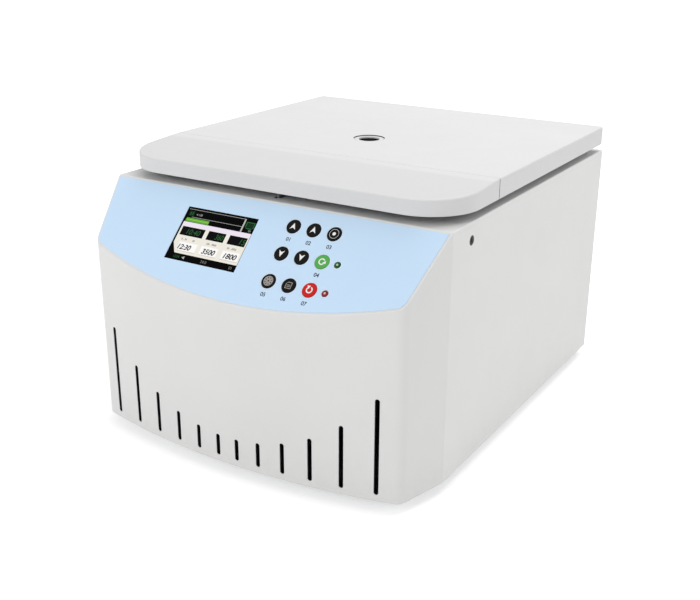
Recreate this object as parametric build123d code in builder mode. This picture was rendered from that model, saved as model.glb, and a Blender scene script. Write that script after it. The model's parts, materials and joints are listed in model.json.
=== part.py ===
"""Bench cytocentrifuge: a sheet and moulded case with a sloped keypad, a hinged lid and a 12-place slide rotor.

Row frame in millimetres: X to the right as seen from the front, Y to the back, Z up.
The origin is on the bench, in the middle of the machine's width and of its whole depth.
"""

import os
from math import atan2, copysign, cos, degrees, radians, sin, sqrt, tan

from build123d import *

# ---------------------------------------------------------------- driving dimensions
# Case, seen from above
case_width = 420.0  # over the two flat sides
deck_depth = 428.0  # from the deck's front edge to the back of the case
facet_run = 61.0  # how far the slanting front corners reach forward of the deck
facet_inset = 16.5  # how far each of them leans in over that run
front_bulge = 25.0  # rise of the curved front between them
facet_corner_radius = 14.0  # between a slanting corner and the curved front
back_corner_radius = 3.0
# Case, seen from the side
case_height = 267.5  # from the case's lower edge to the deck
case_wall = 3.0
slope_angle = 45.0  # of the control face, from the horizontal
case_edge_radius = 1.5
foot_height = 12.0
foot_radius = 19.0
foot_side_inset = 46.0  # foot centre, in from the case's side
foot_front_inset = 40.0  # foot centre, back from the deck's front edge
foot_back_inset = 46.0  # foot centre, in from the back of the case

# Air slots in the curved front: six on each side of the middle
slot_count_each_side = 6
slot_width = 5.0
slot_foot = 7.5  # lower end, above the case's lower edge
slot_first_pitch = 24.3  # between the two middle slots
slot_pitch_growth = 2.4  # each pitch is this much wider than the last
slot_crown_height = 31.8  # height of the arc of slot tops in the middle
slot_crown_radius = 219.0  # radius of that arc

# Control face: places are measured from its top edge, down the slope
overlay_thickness = 0.6
overlay_margin = 2.6
screen_width = 92.0
screen_height = 63.5
screen_x = -48.2
screen_drop = 55.2
screen_clearance = 0.2
module_border = 5.0
key_radius = 7.8
key_first_x = 41.6
key_pitch_x = 24.2
key_first_drop = 24.5
key_pitch_drop = 31.6
key_proud = 0.9
key_travel = 0.6
key_clearance = 0.25
key_flange = 1.6  # how far the retaining flange stands out of the cap
key_flange_gap = 0.05
key_skirt = 3.0  # cap length behind the wall
key_edge_radius = 0.5
indicator_radius = 3.4
indicator_x = 107.6
indicator_proud = 0.9
board_thickness = 1.6
board_margin = 13.0
board_post_radius = 3.0
tact_height = 1.6
tact_size = 6.0
tact_gap = 0.2  # between a pressed key and its switch

# Chamber and rotor
bowl_radius = 150.0
bowl_depth = 112.0
bowl_wall = 1.5
bowl_corner_radius = 14.0
bowl_flange = 12.0
bowl_seat_clearance = 2.5
collar_radius = 34.0
collar_height = 9.0
shaft_hole_radius = 13.0
gasket_width = 8.0
gasket_set_out = 3.0  # gasket outside the bowl's inner wall
gasket_squeeze_gap = 0.3
station_count = 12
clip_inset = 13.0  # inner face of a clip's back plate, in from the disc's edge
clip_sheet = 1.2
clip_side_clearance = 0.3
clip_height = 79.0
slide_width = 26.0
slide_height = 76.0
slide_thickness = 1.0
card_thickness = 0.6
plate_thickness = 3.0
stack_gap = 0.1
lip_width = 3.0
funnel_height = 42.0
card_height = 44.0
cup_radius = 9.5
cup_wall = 1.5
outlet_height = 10.0
cup_height = 34.0
cup_foot = 4.0
cap_radius = 10.6
cap_height = 4.0
rotor_clearance = 9.0  # between the rotor disc and the bowl's wall
disc_thickness = 4.0
disc_floor_gap = 12.0  # rotor disc above the bowl's floor
cradle_wall = 3.0
cradle_height = 24.0
cradle_back = 4.0
cradle_length = 16.0
cradle_clearance = 0.15
hub_radius = 27.0
hub_height = 26.0
pocket_radius = 11.0
pocket_circle = 74.0
pocket_depth = 2.2
hub_shoulder = 6.0
hub_edge = 1.0
hub_web = 4.0  # top of the hub, that the nut clamps down
hub_web_clearance = 0.3  # between the web and the spindle's shoulder
spindle_radius = 8.0
spindle_seat_radius = 11.5
spindle_seat_height = 3.0
stud_radius = 5.0
stud_height = 16.0
running_clearance = 0.05
knob_radius = 18.0
knob_height = 20.0
knob_scallops = 12
knob_scallop_radius = 3.2
knob_edge = 1.0

# Lid
lid_gap = 8.8  # between deck and lid
lid_thickness = 21.7
lid_wall = 3.0
lid_rear_inset = 6.0
lid_corner_radius = 57.0
lid_back_radius = 4.0
lid_edge_radius = 1.8
crease_set_back = 103.0  # from the lid's front edge to the crease and seam
nose_drop = 5.7  # how much the lid's top falls from the crease to the front
seam_width = 0.5
liner_thickness = 3.0
liner_clearance = 0.3
chamber_plate_thickness = 1.2
chamber_plate_margin = 4.0
port_rim_radius = 18.2
port_radius = 12.5
port_ring_drop = 1.0  # the bezel's flat ring, below the lid's top
port_window_drop = 2.6
port_tube_wall = 3.0
port_ledge = 1.6
port_fit = 0.1
window_thickness = 2.0

# Hinge
hinge_side_inset = 85.0  # each hinge's middle, in from the case's side
hinge_height = 9.2  # axis above the deck
hinge_inset = 8.0  # axis in from the lid's back edge
hinge_pin_radius = 2.5
knuckle_radius = 4.5
ear_thickness = 3.0
knuckle_length = 20.0
knuckle_gap = 0.4
hinge_leaf_length = 42.0
hinge_leaf_thickness = 3.0
hinge_leaf_width = 42.0
hinge_notch_rise = 8.0
hinge_notch_margin = 1.2
hinge_base_length = 18.0
hinge_base_thickness = 2.0

# Lid lock and its release rod
lock_set_back = 22.0  # bolt axis behind the deck's front edge
lock_drop = 18.7  # bolt and rod axis below the deck
bolt_radius = 4.0
bolt_travel = 9.0
bolt_retract_gap = 2.5
bolt_stand = 12.0  # bolt tip in front of the solenoid, drawn back
striker_thickness = 3.0
striker_width = 16.0
striker_window = 11.0
striker_below_window = 3.5
striker_slot_width = 8.0
striker_slot_clearance = 3.0
solenoid_length = 38.0
solenoid_width = 22.0
solenoid_height = 24.0
bracket_sheet = 2.0
arm_thickness = 6.0
arm_radius = 6.0
rod_guide_first = 40.0  # inner guide, from the middle of the case
rod_guide_side_inset = 60.0  # outer guide, in from the case's side
guide_foot = 12.0
rod_set_back = 20.0  # rod and side hole behind the bolt
rod_radius = 2.5
rod_bowl_clearance = 4.0
rod_end_gap = 17.0  # rod end inside the case's side, bolt drawn back
release_hole_radius = 5.2
plug_length = 7.0
plug_recess = 0.4  # plug face inside the case's side
plug_clearance = 0.1
plug_slot_width = 1.6

# Drive
motor_radius = 58.0
motor_height = 92.0
motor_flute_count = 16
motor_flute_width = 8.0
motor_flute_depth = 4.0
motor_cap_height = 16.0
motor_boss_radius = 24.0
motor_boss_height = 26.0
spindle_grip = 60.0  # spindle length inside the motor
motor_plate_size = 172.0
motor_plate_thickness = 4.0
motor_plate_drop = 32.0  # plate below the bowl's floor
damper_spacing = 132.0
damper_radius = 12.0
damper_height = 28.0
post_radius = 8.0

# Base and rear
foot_taper = 6.0
base_thickness = 2.0
base_clearance = 0.3
rear_thickness = 2.0
fan_size = 80.0
fan_depth = 25.0
fan_side_inset = 92.0  # fan centre, in from the case's right side
fan_rise = 138.0  # fan centre above the case's lower edge
fan_hole_inset = 5.0
fan_arm_width = 6.0
fan_arm_depth = 4.0
fan_shaft_radius = 2.0
fan_blade_thickness = 1.6
fan_bore_radius = 38.0
fan_hub_radius = 16.0
fan_blade_count = 7
fan_blade_pitch = 38.0
fan_tip_clearance = 1.0
guard_thickness = 2.0
guard_standoff = 4.0
guard_ring_count = 4
guard_wire = 2.0
inlet_side_inset = 78.0  # inlet and switch centre, in from the case's left side
inlet_rise = 50.0  # inlet centre above the case's lower edge
inlet_width = 50.0
inlet_tall = 50.0
inlet_lip = 4.0  # flange beyond the body, all round
inlet_flange = 2.5
inlet_body_depth = 28.0
socket_width = 25.0
socket_tall = 17.0
socket_depth = 19.0
socket_rise = 8.0  # socket centre above the inlet's centre
pin_length = 13.0
pin_width = 2.0
pin_tall = 4.0
pin_spacing = 7.0
fuse_width = 30.0
fuse_tall = 12.0
fuse_depth = 22.0
fuse_drop = 11.0  # drawer centre below the inlet's centre
fuse_clearance = 0.2
fuse_grip = 1.2
switch_rise = 112.0  # switch centre above the case's lower edge
switch_width = 24.0
switch_tall = 32.0
switch_lip = 3.0
switch_frame = 2.0
switch_depth = 18.0
switch_wall = 2.0
rocker_tilt = 8.0
rocker_clearance = 0.3  # at the rocker's sides
rocker_end_clearance = 1.1  # at its ends, which swing
rocker_stand = 3.0  # pivot behind the pressed half's face
rocker_belly = 5.0
rocker_pivot_radius = 1.5
rocker_pin_grip = 1.0
supply_side_gap = 19.0  # to the case's left side
supply_back_gap = 51.0  # to the back of the case
supply_width = 92.0
supply_length = 150.0
supply_height = 44.0
supply_foot = 6.0
supply_slot_count = 9
supply_slot_pitch = 14.0
supply_slot_width = 5.0
supply_slot_depth = 3.0
drive_side_gap = 17.0  # to the case's right side
drive_back_gap = 109.0  # to the back of the case
drive_width = 88.0
drive_length = 150.0
sink_width = 34.0
sink_length = 120.0
sink_base = 4.0
sink_height = 28.0
sink_fin = 2.0
sink_fin_count = 6
capacitor_radius = 12.0
capacitor_height = 30.0
rear_screw_radius = 3.6
rear_screw_head = 2.0
rear_screw_inset = 9.0
screw_boss_depth = 14.0
vent_width = 4.0
vent_length = 46.0
vent_pitch = 9.0
vent_count = 9
vent_x = -20.0
vent_rise = 150.0

# ---------------------------------------------------------------- places that follow from them
case_bottom_z = foot_height
deck_z = case_bottom_z + case_height
overall_depth = front_bulge + facet_run + deck_depth + guard_standoff + guard_thickness
front_y = -overall_depth / 2
deck_front_y = front_y + front_bulge + facet_run
case_back_y = deck_front_y + deck_depth
half_width = case_width / 2
front_half_width = half_width - facet_inset
deck_underside_z = deck_z - case_wall
slope_plane = Plane(
    origin=(0, deck_front_y, deck_z),
    x_dir=(1, 0, 0),
    z_dir=(0, -sin(radians(slope_angle)), cos(radians(slope_angle))),
)

lid_bottom_z = deck_z + lid_gap
lid_top_z = lid_bottom_z + lid_thickness
lid_back_y = case_back_y - lid_rear_inset
crease_y = deck_front_y + crease_set_back
liner_top_z = lid_bottom_z + liner_thickness
lid_ceiling_z = lid_top_z - lid_wall
hinge_y = lid_back_y - hinge_inset
hinge_z = deck_z + hinge_height
hinge_spacing = case_width - 2 * hinge_side_inset

lock_y = deck_front_y + lock_set_back
lock_z = deck_z - lock_drop
rod_y = lock_y + rod_set_back
rod_guide_places = (rod_guide_first, half_width - rod_guide_side_inset)

rotor_y = rod_y + rod_radius + rod_bowl_clearance + bowl_wall + bowl_radius
disc_radius = bowl_radius - rotor_clearance
clip_radius = disc_radius - clip_inset
bowl_floor_z = deck_z + bowl_wall - bowl_depth
disc_z = bowl_floor_z + disc_floor_gap
clip_z = disc_z + disc_thickness
hub_top_z = disc_z + hub_height
motor_plate_z = bowl_floor_z - bowl_wall - motor_plate_drop
base_top_z = case_bottom_z + base_thickness
fan_x = half_width - fan_side_inset
fan_z = case_bottom_z + fan_rise
inlet_x = inlet_side_inset - half_width
inlet_z = case_bottom_z + inlet_rise
switch_z = case_bottom_z + switch_rise
vent_z = case_bottom_z + vent_rise
supply_place = (
    case_wall + supply_side_gap + supply_width / 2 - half_width,
    case_back_y - supply_back_gap - supply_length / 2,
)
drive_place = (
    half_width - case_wall - drive_side_gap - drive_width / 2,
    case_back_y - drive_back_gap - drive_length / 2,
)



def case_outline():
    """The case seen from above: flat sides, slanting front corners and a curved front."""
    with BuildSketch() as outline:
        with BuildLine():
            Polyline(
                (-front_half_width, deck_front_y - facet_run),
                (-half_width, deck_front_y),
                (-half_width, case_back_y),
                (half_width, case_back_y),
                (half_width, deck_front_y),
                (front_half_width, deck_front_y - facet_run),
            )
            ThreePointArc(
                (-front_half_width, deck_front_y - facet_run),
                (0, front_y),
                (front_half_width, deck_front_y - facet_run),
            )
        make_face()
        fillet(outline.vertices().group_by(Axis.Y)[0], radius=facet_corner_radius)
        fillet(outline.vertices().group_by(Axis.Y)[-1], radius=back_corner_radius)
    return outline.sketch


def slot_places():
    """X and top height of each air slot, from the middle outwards on both sides."""
    places = []
    x = slot_first_pitch / 2
    pitch = slot_first_pitch
    for _ in range(slot_count_each_side):
        rise = slot_crown_radius - sqrt(slot_crown_radius**2 - x**2)
        places += [(x, slot_crown_height + rise), (-x, slot_crown_height + rise)]
        pitch += slot_pitch_growth
        x += pitch
    return places


def finish(builder, label):
    """Labels a finished piece and writes it."""
    builder.part.label = label
    export_step(builder.part, f"parts/{label}.step")


os.makedirs("parts", exist_ok=True)

# ---------------------------------------------------------------- control face layout
slope_inner_plane = slope_plane.offset(-case_wall)
slope_scale = 1 / cos(radians(slope_angle))
board_face_depth = case_wall + key_skirt + key_travel + tact_gap + tact_height
key_rows = (
    ("speed_up_key", "time_up_key", "jog_key"),
    ("speed_down_key", "time_down_key", "start_key"),
    ("rotor_key", "program_key", "stop_key"),
)
key_places = {
    name: (key_first_x + column * key_pitch_x, -(key_first_drop + row * key_pitch_drop))
    for row, names in enumerate(key_rows)
    for column, name in enumerate(names)
}
indicator_places = {
    "run_indicator": (indicator_x, key_places["start_key"][1]),
    "stop_indicator": (indicator_x, key_places["stop_key"][1]),
}
screen_place = (screen_x, -screen_drop)
board_left = screen_x - screen_width / 2 - board_margin
board_right = indicator_x + indicator_radius + board_margin
board_top = -(screen_drop - screen_height / 2 - board_margin)
board_bottom = -(screen_drop + screen_height / 2 + board_margin / 2)
board_centre = ((board_left + board_right) / 2, (board_top + board_bottom) / 2)
board_size = (board_right - board_left, board_top - board_bottom)
board_post_spacing = (board_size[0] - 2 * board_post_radius, board_size[1] - 2 * board_post_radius)

# ---------------------------------------------------------------- case
rear_width = case_width - 2 * case_wall - 2 * base_clearance
rear_top_z = deck_underside_z - base_clearance
rear_plane = Plane(origin=(0, case_back_y, 0), x_dir=(1, 0, 0), z_dir=(0, -1, 0))
screw_boss_height = 2 * (rear_screw_inset - base_thickness - base_clearance)
rear_screw_places = [
    (side * (rear_width / 2 - rear_screw_inset), z)
    for side in (-1, 1)
    for z in (
        case_bottom_z + rear_screw_inset,
        (case_bottom_z + rear_top_z) / 2,
        rear_top_z - rear_screw_inset,
    )
]
with BuildPart() as case_hollow:
    with BuildSketch():
        add(case_outline())
        offset(amount=-case_wall)
        with Locations((0, case_back_y)):
            Rectangle(case_width - 2 * case_wall, 4 * case_wall)
    extrude(amount=deck_underside_z)
    split(bisect_by=slope_inner_plane, keep=Keep.BOTTOM)

with BuildPart() as main_case:
    with BuildSketch(Plane.XY.offset(case_bottom_z)):
        add(case_outline())
    extrude(amount=case_height)
    split(bisect_by=slope_plane, keep=Keep.BOTTOM)
    deck = main_case.faces().sort_by(Axis.Z)[-1]
    control_face = main_case.faces().sort_by(Axis(slope_plane.origin, slope_plane.z_dir))[-1]
    fillet(deck.edges() + control_face.edges(), radius=case_edge_radius)
    add(case_hollow, mode=Mode.SUBTRACT)
    # bosses that carry the control board
    with BuildSketch(slope_inner_plane):
        with Locations(board_centre):
            with GridLocations(*board_post_spacing, 2, 2):
                Circle(board_post_radius)
    extrude(amount=-(board_face_depth - case_wall))
    # bosses that take the rear panel's screws
    with BuildSketch(rear_plane.offset(rear_thickness)):
        for x, z in rear_screw_places:
            boss_x = copysign((abs(x) - rear_screw_inset + half_width - case_wall) / 2, x)
            with Locations((boss_x, z)):
                Rectangle(half_width - case_wall - abs(x) + rear_screw_inset, screw_boss_height)
    extrude(amount=screw_boss_depth)
    # screen, keys and indicators
    with BuildSketch(slope_plane.offset(case_wall)):
        with Locations(screen_place):
            RectangleRounded(screen_width, screen_height, 2 * screen_clearance)
        with Locations(*key_places.values()):
            Circle(key_radius + key_clearance)
        with Locations(*indicator_places.values()):
            Circle(indicator_radius + key_clearance)
    extrude(amount=-3 * case_wall, mode=Mode.SUBTRACT)
    # chamber opening and lock slot in the deck
    with BuildSketch(Plane.XY.offset(deck_z)):
        with Locations((0, rotor_y)):
            Circle(bowl_radius + bowl_wall + bowl_seat_clearance)
        with Locations((0, lock_y)):
            SlotOverall(striker_width + 2 * striker_slot_clearance, striker_slot_width, rotation=90)
    extrude(amount=-2 * case_wall, mode=Mode.SUBTRACT)
    # air slots in the curved front
    with BuildSketch(Plane.XZ.offset(-front_y + case_wall)):
        for x, top in slot_places():
            with Locations((x, case_bottom_z + (slot_foot + top) / 2)):
                SlotOverall(top - slot_foot, slot_width, rotation=90)
    extrude(amount=-(front_bulge + 3 * case_wall), mode=Mode.SUBTRACT)
    # hole for the lid's release tool, in the right side
    with BuildSketch(Plane.YZ.offset(half_width - 2 * case_wall)):
        with Locations((rod_y, lock_z)):
            Circle(release_hole_radius)
    extrude(amount=3 * case_wall, mode=Mode.SUBTRACT)
finish(main_case, "main_case")

with BuildPart() as control_overlay:
    with BuildSketch(slope_plane):
        with BuildLine():
            Polyline(
                (-front_half_width, -facet_run * slope_scale),
                (-half_width, 0),
                (half_width, 0),
                (front_half_width, -facet_run * slope_scale),
            )
            ThreePointArc(
                (-front_half_width, -facet_run * slope_scale),
                (0, -(facet_run + front_bulge) * slope_scale),
                (front_half_width, -facet_run * slope_scale),
            )
        overlay_face = make_face()
        fillet(overlay_face.vertices().group_by(Axis.Y)[0], radius=facet_corner_radius)
        offset(amount=-overlay_margin)
        with Locations(screen_place):
            Rectangle(screen_width, screen_height, mode=Mode.SUBTRACT)
        with Locations(*key_places.values()):
            Circle(key_radius + key_clearance, mode=Mode.SUBTRACT)
        with Locations(*indicator_places.values()):
            Circle(indicator_radius + key_clearance, mode=Mode.SUBTRACT)
    extrude(amount=overlay_thickness)
finish(control_overlay, "control_overlay")

with BuildPart() as display_window:
    with BuildSketch(slope_inner_plane):
        with Locations(screen_place):
            RectangleRounded(
                screen_width - 2 * screen_clearance, screen_height - 2 * screen_clearance, 2 * screen_clearance
            )
    extrude(amount=case_wall + overlay_thickness)
    front = display_window.faces().sort_by(Axis(slope_plane.origin, slope_plane.z_dir))[-1]
    chamfer(front.edges(), length=screen_clearance)
finish(display_window, "display_window")

with BuildPart() as display_module:
    with BuildSketch(slope_inner_plane):
        with Locations(screen_place):
            RectangleRounded(
                screen_width + 2 * module_border, screen_height + 2 * module_border, module_border / 2
            )
    extrude(amount=-(board_face_depth - case_wall))
finish(display_module, "display_module")

board_plane = slope_plane.offset(-board_face_depth)
with BuildPart() as control_board:
    with BuildSketch(board_plane):
        with Locations(board_centre):
            RectangleRounded(*board_size, board_post_radius)
    extrude(amount=-board_thickness)
    # one small push switch behind each key
    with BuildSketch(board_plane):
        with Locations(*key_places.values()):
            Rectangle(tact_size, tact_size)
    extrude(amount=tact_height)
finish(control_board, "control_board")

for indicator_name, indicator_place in indicator_places.items():
    with BuildPart() as indicator:
        with BuildSketch(board_plane):
            with Locations(indicator_place):
                Circle(indicator_radius)
        extrude(amount=board_face_depth + overlay_thickness + indicator_proud)
        crown = indicator.faces().sort_by(Axis(slope_plane.origin, slope_plane.z_dir))[-1]
        fillet(crown.edges(), radius=indicator_proud)
    finish(indicator, indicator_name)

for key_name, key_place in key_places.items():
    with BuildPart() as key:
        with BuildSketch(slope_inner_plane.offset(-key_skirt)):
            with Locations(key_place):
                Circle(key_radius)
        extrude(amount=key_skirt + case_wall + overlay_thickness + key_proud)
        crown = key.faces().sort_by(Axis(slope_plane.origin, slope_plane.z_dir))[-1]
        fillet(crown.edges(), radius=key_edge_radius)
        # flange behind the wall, so that the key can't fall out
        with BuildSketch(slope_inner_plane.offset(-key_flange_gap)):
            with Locations(key_place):
                Circle(key_radius + key_flange)
        extrude(amount=-(key_skirt - key_flange_gap))
    finish(key, key_name)

# ---------------------------------------------------------------- base, feet and rear
foot_places = [
    (side * (half_width - foot_side_inset), y)
    for side in (-1, 1)
    for y in (deck_front_y + foot_front_inset, case_back_y - foot_back_inset)
]
damper_places = [
    (x, rotor_y + y) for x in (-damper_spacing / 2, damper_spacing / 2) for y in (-damper_spacing / 2, damper_spacing / 2)
]
damper_bottom_z = motor_plate_z - damper_height

with BuildPart() as base_pan:
    with BuildSketch(Plane.XY.offset(case_bottom_z)):
        add(case_outline())
        offset(amount=-(case_wall + base_clearance))
    extrude(amount=base_thickness)
    # posts under the drive's rubber dampers
    with BuildSketch(Plane.XY.offset(base_top_z)):
        with Locations(*damper_places):
            Circle(post_radius)
    extrude(amount=damper_bottom_z - base_top_z)
finish(base_pan, "base_pan")

with BuildPart() as rubber_feet:
    with BuildSketch():
        with Locations(*foot_places):
            Circle(foot_radius)
    extrude(amount=foot_height, taper=foot_taper)
finish(rubber_feet, "rubber_feet")

fan_place = (fan_x, fan_z)
inlet_place = (inlet_x, inlet_z)
switch_place = (inlet_x, switch_z)
fan_hole_spacing = fan_size - 2 * fan_hole_inset

with BuildPart() as rear_panel:
    with BuildSketch(rear_plane):
        with Locations((0, (case_bottom_z + rear_top_z) / 2)):
            Rectangle(rear_width, rear_top_z - case_bottom_z)
        with Locations(fan_place):
            Circle(fan_bore_radius, mode=Mode.SUBTRACT)
        with Locations(inlet_place):
            Rectangle(
                inlet_width - 2 * inlet_lip + 2 * base_clearance,
                inlet_tall - 2 * inlet_lip + 2 * base_clearance,
                mode=Mode.SUBTRACT,
            )
        with Locations(switch_place):
            Rectangle(
                switch_width - 2 * switch_lip + 2 * base_clearance,
                switch_tall - 2 * switch_lip + 2 * base_clearance,
                mode=Mode.SUBTRACT,
            )
        with Locations((vent_x, vent_z)):
            with GridLocations(vent_pitch, vent_length + vent_width, vent_count, 2):
                SlotOverall(vent_length, vent_width, rotation=90, mode=Mode.SUBTRACT)
    extrude(amount=rear_thickness)
finish(rear_panel, "rear_panel")

with BuildPart() as case_screws:
    with BuildSketch(rear_plane):
        with Locations(*rear_screw_places):
            Circle(rear_screw_radius)
    extrude(amount=-rear_screw_head)
    heads = case_screws.faces().filter_by(Axis.Y).group_by(Axis.Y)[-1]
    fillet(heads.edges(), radius=rear_screw_head / 2)
finish(case_screws, "case_screws")

fan_plane = rear_plane.offset(rear_thickness)
with BuildPart() as fan_frame:
    with BuildSketch(fan_plane):
        with Locations(fan_place):
            RectangleRounded(fan_size, fan_size, fan_hole_inset)
            Circle(fan_bore_radius, mode=Mode.SUBTRACT)
    extrude(amount=fan_depth)
    # motor seat and its arms, on the inner side
    with BuildSketch(fan_plane.offset(fan_depth)):
        with Locations(fan_place):
            Circle(fan_hub_radius)
            Rectangle(fan_size, fan_arm_width)
            Rectangle(fan_arm_width, fan_size)
    extrude(amount=-fan_arm_depth)
    with BuildSketch(fan_plane.offset(fan_depth)):
        with Locations(fan_place):
            Circle(fan_shaft_radius + running_clearance)
    extrude(amount=-fan_arm_depth, mode=Mode.SUBTRACT)
finish(fan_frame, "fan_frame")

impeller_length = fan_depth - fan_arm_depth - 2 * fan_tip_clearance
with BuildPart() as fan_impeller:
    # pitched blades, trimmed to the bore
    with Locations(Plane(origin=(fan_x, case_back_y - rear_thickness - fan_tip_clearance, fan_z), z_dir=(0, -1, 0))):
        with PolarLocations(0, fan_blade_count):
            with Locations(Location((fan_bore_radius / 2, 0, impeller_length / 2), (fan_blade_pitch, 0, 0))):
                Box(fan_bore_radius, fan_blade_thickness, 3 * impeller_length)
    with BuildSketch(fan_plane.offset(fan_tip_clearance)):
        with Locations(fan_place):
            Circle(fan_bore_radius - fan_tip_clearance)
    extrude(amount=impeller_length, mode=Mode.INTERSECT)
    with BuildSketch(fan_plane.offset(fan_tip_clearance)):
        with Locations(fan_place):
            Circle(fan_hub_radius)
    extrude(amount=impeller_length)
    with BuildSketch(fan_plane.offset(fan_tip_clearance + impeller_length)):
        with Locations(fan_place):
            Circle(fan_shaft_radius)
    extrude(amount=fan_tip_clearance + fan_arm_depth / 2)
finish(fan_impeller, "fan_impeller")

with BuildPart() as fan_guard:
    with BuildSketch(rear_plane.offset(-guard_standoff)):
        with Locations(fan_place):
            # arms out to the four screws, then the rings from the outside in
            Rectangle(sqrt(2) * fan_hole_spacing, fan_hole_inset, rotation=45)
            Rectangle(sqrt(2) * fan_hole_spacing, fan_hole_inset, rotation=-45)
            for ring in range(guard_ring_count, 0, -1):
                ring_radius = fan_bore_radius * ring / guard_ring_count
                Circle(ring_radius)
                Circle(ring_radius - guard_wire, mode=Mode.SUBTRACT)
            Rectangle(guard_wire, 2 * fan_bore_radius - guard_wire)
            Rectangle(2 * fan_bore_radius - guard_wire, guard_wire)
            with GridLocations(fan_hole_spacing, fan_hole_spacing, 2, 2):
                Circle(fan_hole_inset)
    extrude(amount=-guard_thickness)
    with BuildSketch(rear_plane):
        with Locations(fan_place):
            with GridLocations(fan_hole_spacing, fan_hole_spacing, 2, 2):
                Circle(fan_hole_inset / 2)
    extrude(amount=-guard_standoff)
finish(fan_guard, "fan_guard")

inlet_body_size = (inlet_width - 2 * inlet_lip, inlet_tall - 2 * inlet_lip)
socket_place = (inlet_x, inlet_z + socket_rise)
fuse_place = (inlet_x, inlet_z - fuse_drop)
with BuildPart() as power_inlet:
    with BuildSketch(rear_plane):
        with Locations(inlet_place):
            RectangleRounded(inlet_width, inlet_tall, inlet_lip)
    extrude(amount=-inlet_flange)
    with BuildSketch(rear_plane):
        with Locations(inlet_place):
            Rectangle(*inlet_body_size)
    extrude(amount=inlet_body_depth)
    # socket with its two upper corners cut off, and the drawer's pocket below it
    with BuildSketch(rear_plane.offset(-inlet_flange)) as socket_mouth:
        with Locations(socket_place):
            Rectangle(socket_width, socket_tall)
        chamfer(socket_mouth.vertices().group_by(Axis.Y)[-1], length=socket_tall / 3)
    extrude(amount=socket_depth, mode=Mode.SUBTRACT)
    with BuildSketch(rear_plane.offset(-inlet_flange)):
        with Locations(fuse_place):
            Rectangle(fuse_width, fuse_tall)
    extrude(amount=fuse_depth, mode=Mode.SUBTRACT)
    # earth pin above the line and neutral pins
    with BuildSketch(rear_plane.offset(socket_depth - inlet_flange)):
        with Locations(socket_place):
            with Locations((0, pin_tall / 2), (-pin_spacing, -pin_tall / 2), (pin_spacing, -pin_tall / 2)):
                Rectangle(pin_width, pin_tall)
    extrude(amount=-pin_length)
finish(power_inlet, "power_inlet")

with BuildPart() as fuse_drawer:
    with BuildSketch(rear_plane.offset(-inlet_flange)):
        with Locations(fuse_place):
            Rectangle(fuse_width - 2 * fuse_clearance, fuse_tall - 2 * fuse_clearance)
    extrude(amount=fuse_depth - fuse_clearance)
    # finger lip along the lower edge
    with BuildSketch(rear_plane.offset(-inlet_flange)):
        with Locations((fuse_place[0], fuse_place[1] - fuse_tall / 2 + fuse_clearance + fuse_grip)):
            Rectangle(fuse_width / 2, 2 * fuse_grip)
    extrude(amount=-fuse_grip)
    # trough for the fuses, open upwards
    with BuildSketch(rear_plane.offset(fuse_grip)):
        with Locations((fuse_place[0], fuse_place[1] + fuse_grip)):
            Rectangle(fuse_width - 4 * fuse_grip, fuse_tall)
    extrude(amount=fuse_depth - inlet_flange - 3 * fuse_grip, mode=Mode.SUBTRACT)
finish(fuse_drawer, "fuse_drawer")

switch_body_size = (switch_width - 2 * switch_lip, switch_tall - 2 * switch_lip)
switch_mouth = (switch_body_size[0] - 2 * switch_wall, switch_body_size[1] - 2 * switch_wall)
# the rocker is drawn with its upper half pressed in; it turns about a pin across the body
rocker_pivot_y = case_back_y + switch_frame - rocker_stand * cos(radians(rocker_tilt))
rocker_plane = Plane(
    origin=(inlet_x, rocker_pivot_y, switch_z),
    x_dir=(0, cos(radians(rocker_tilt)), sin(radians(rocker_tilt))),
    z_dir=(1, 0, 0),
)
with BuildPart() as switch_body:
    with BuildSketch(rear_plane):
        with Locations(switch_place):
            RectangleRounded(switch_width, switch_tall, switch_lip / 2)
    extrude(amount=-switch_frame)
    with BuildSketch(rear_plane):
        with Locations(switch_place):
            Rectangle(*switch_body_size)
    extrude(amount=switch_depth)
    with BuildSketch(rear_plane.offset(-switch_frame)):
        with Locations(switch_place):
            Rectangle(*switch_mouth)
    extrude(amount=switch_depth, mode=Mode.SUBTRACT)
    with BuildSketch(rocker_plane):
        Circle(rocker_pivot_radius + running_clearance)
    extrude(amount=switch_mouth[0] / 2 + rocker_pin_grip + running_clearance, both=True, mode=Mode.SUBTRACT)
finish(switch_body, "switch_body")

rocker_half = switch_mouth[1] / 2 - rocker_end_clearance
rocker_crown = rocker_stand + rocker_half * tan(radians(rocker_tilt))
with BuildPart() as power_rocker:
    with BuildSketch(rocker_plane):
        with BuildLine():
            Polyline(
                (rocker_stand, 0),
                (rocker_crown, rocker_half),
                (-rocker_stand / 2, rocker_half),
                (-rocker_belly, 0),
                (-rocker_stand / 2, -rocker_half),
                (rocker_crown, -rocker_half),
                close=True,
            )
        make_face()
    extrude(amount=switch_mouth[0] / 2 - rocker_clearance, both=True)
    with BuildSketch(rocker_plane):
        Circle(rocker_pivot_radius)
    extrude(amount=switch_mouth[0] / 2 + rocker_pin_grip, both=True)
finish(power_rocker, "power_rocker")

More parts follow.
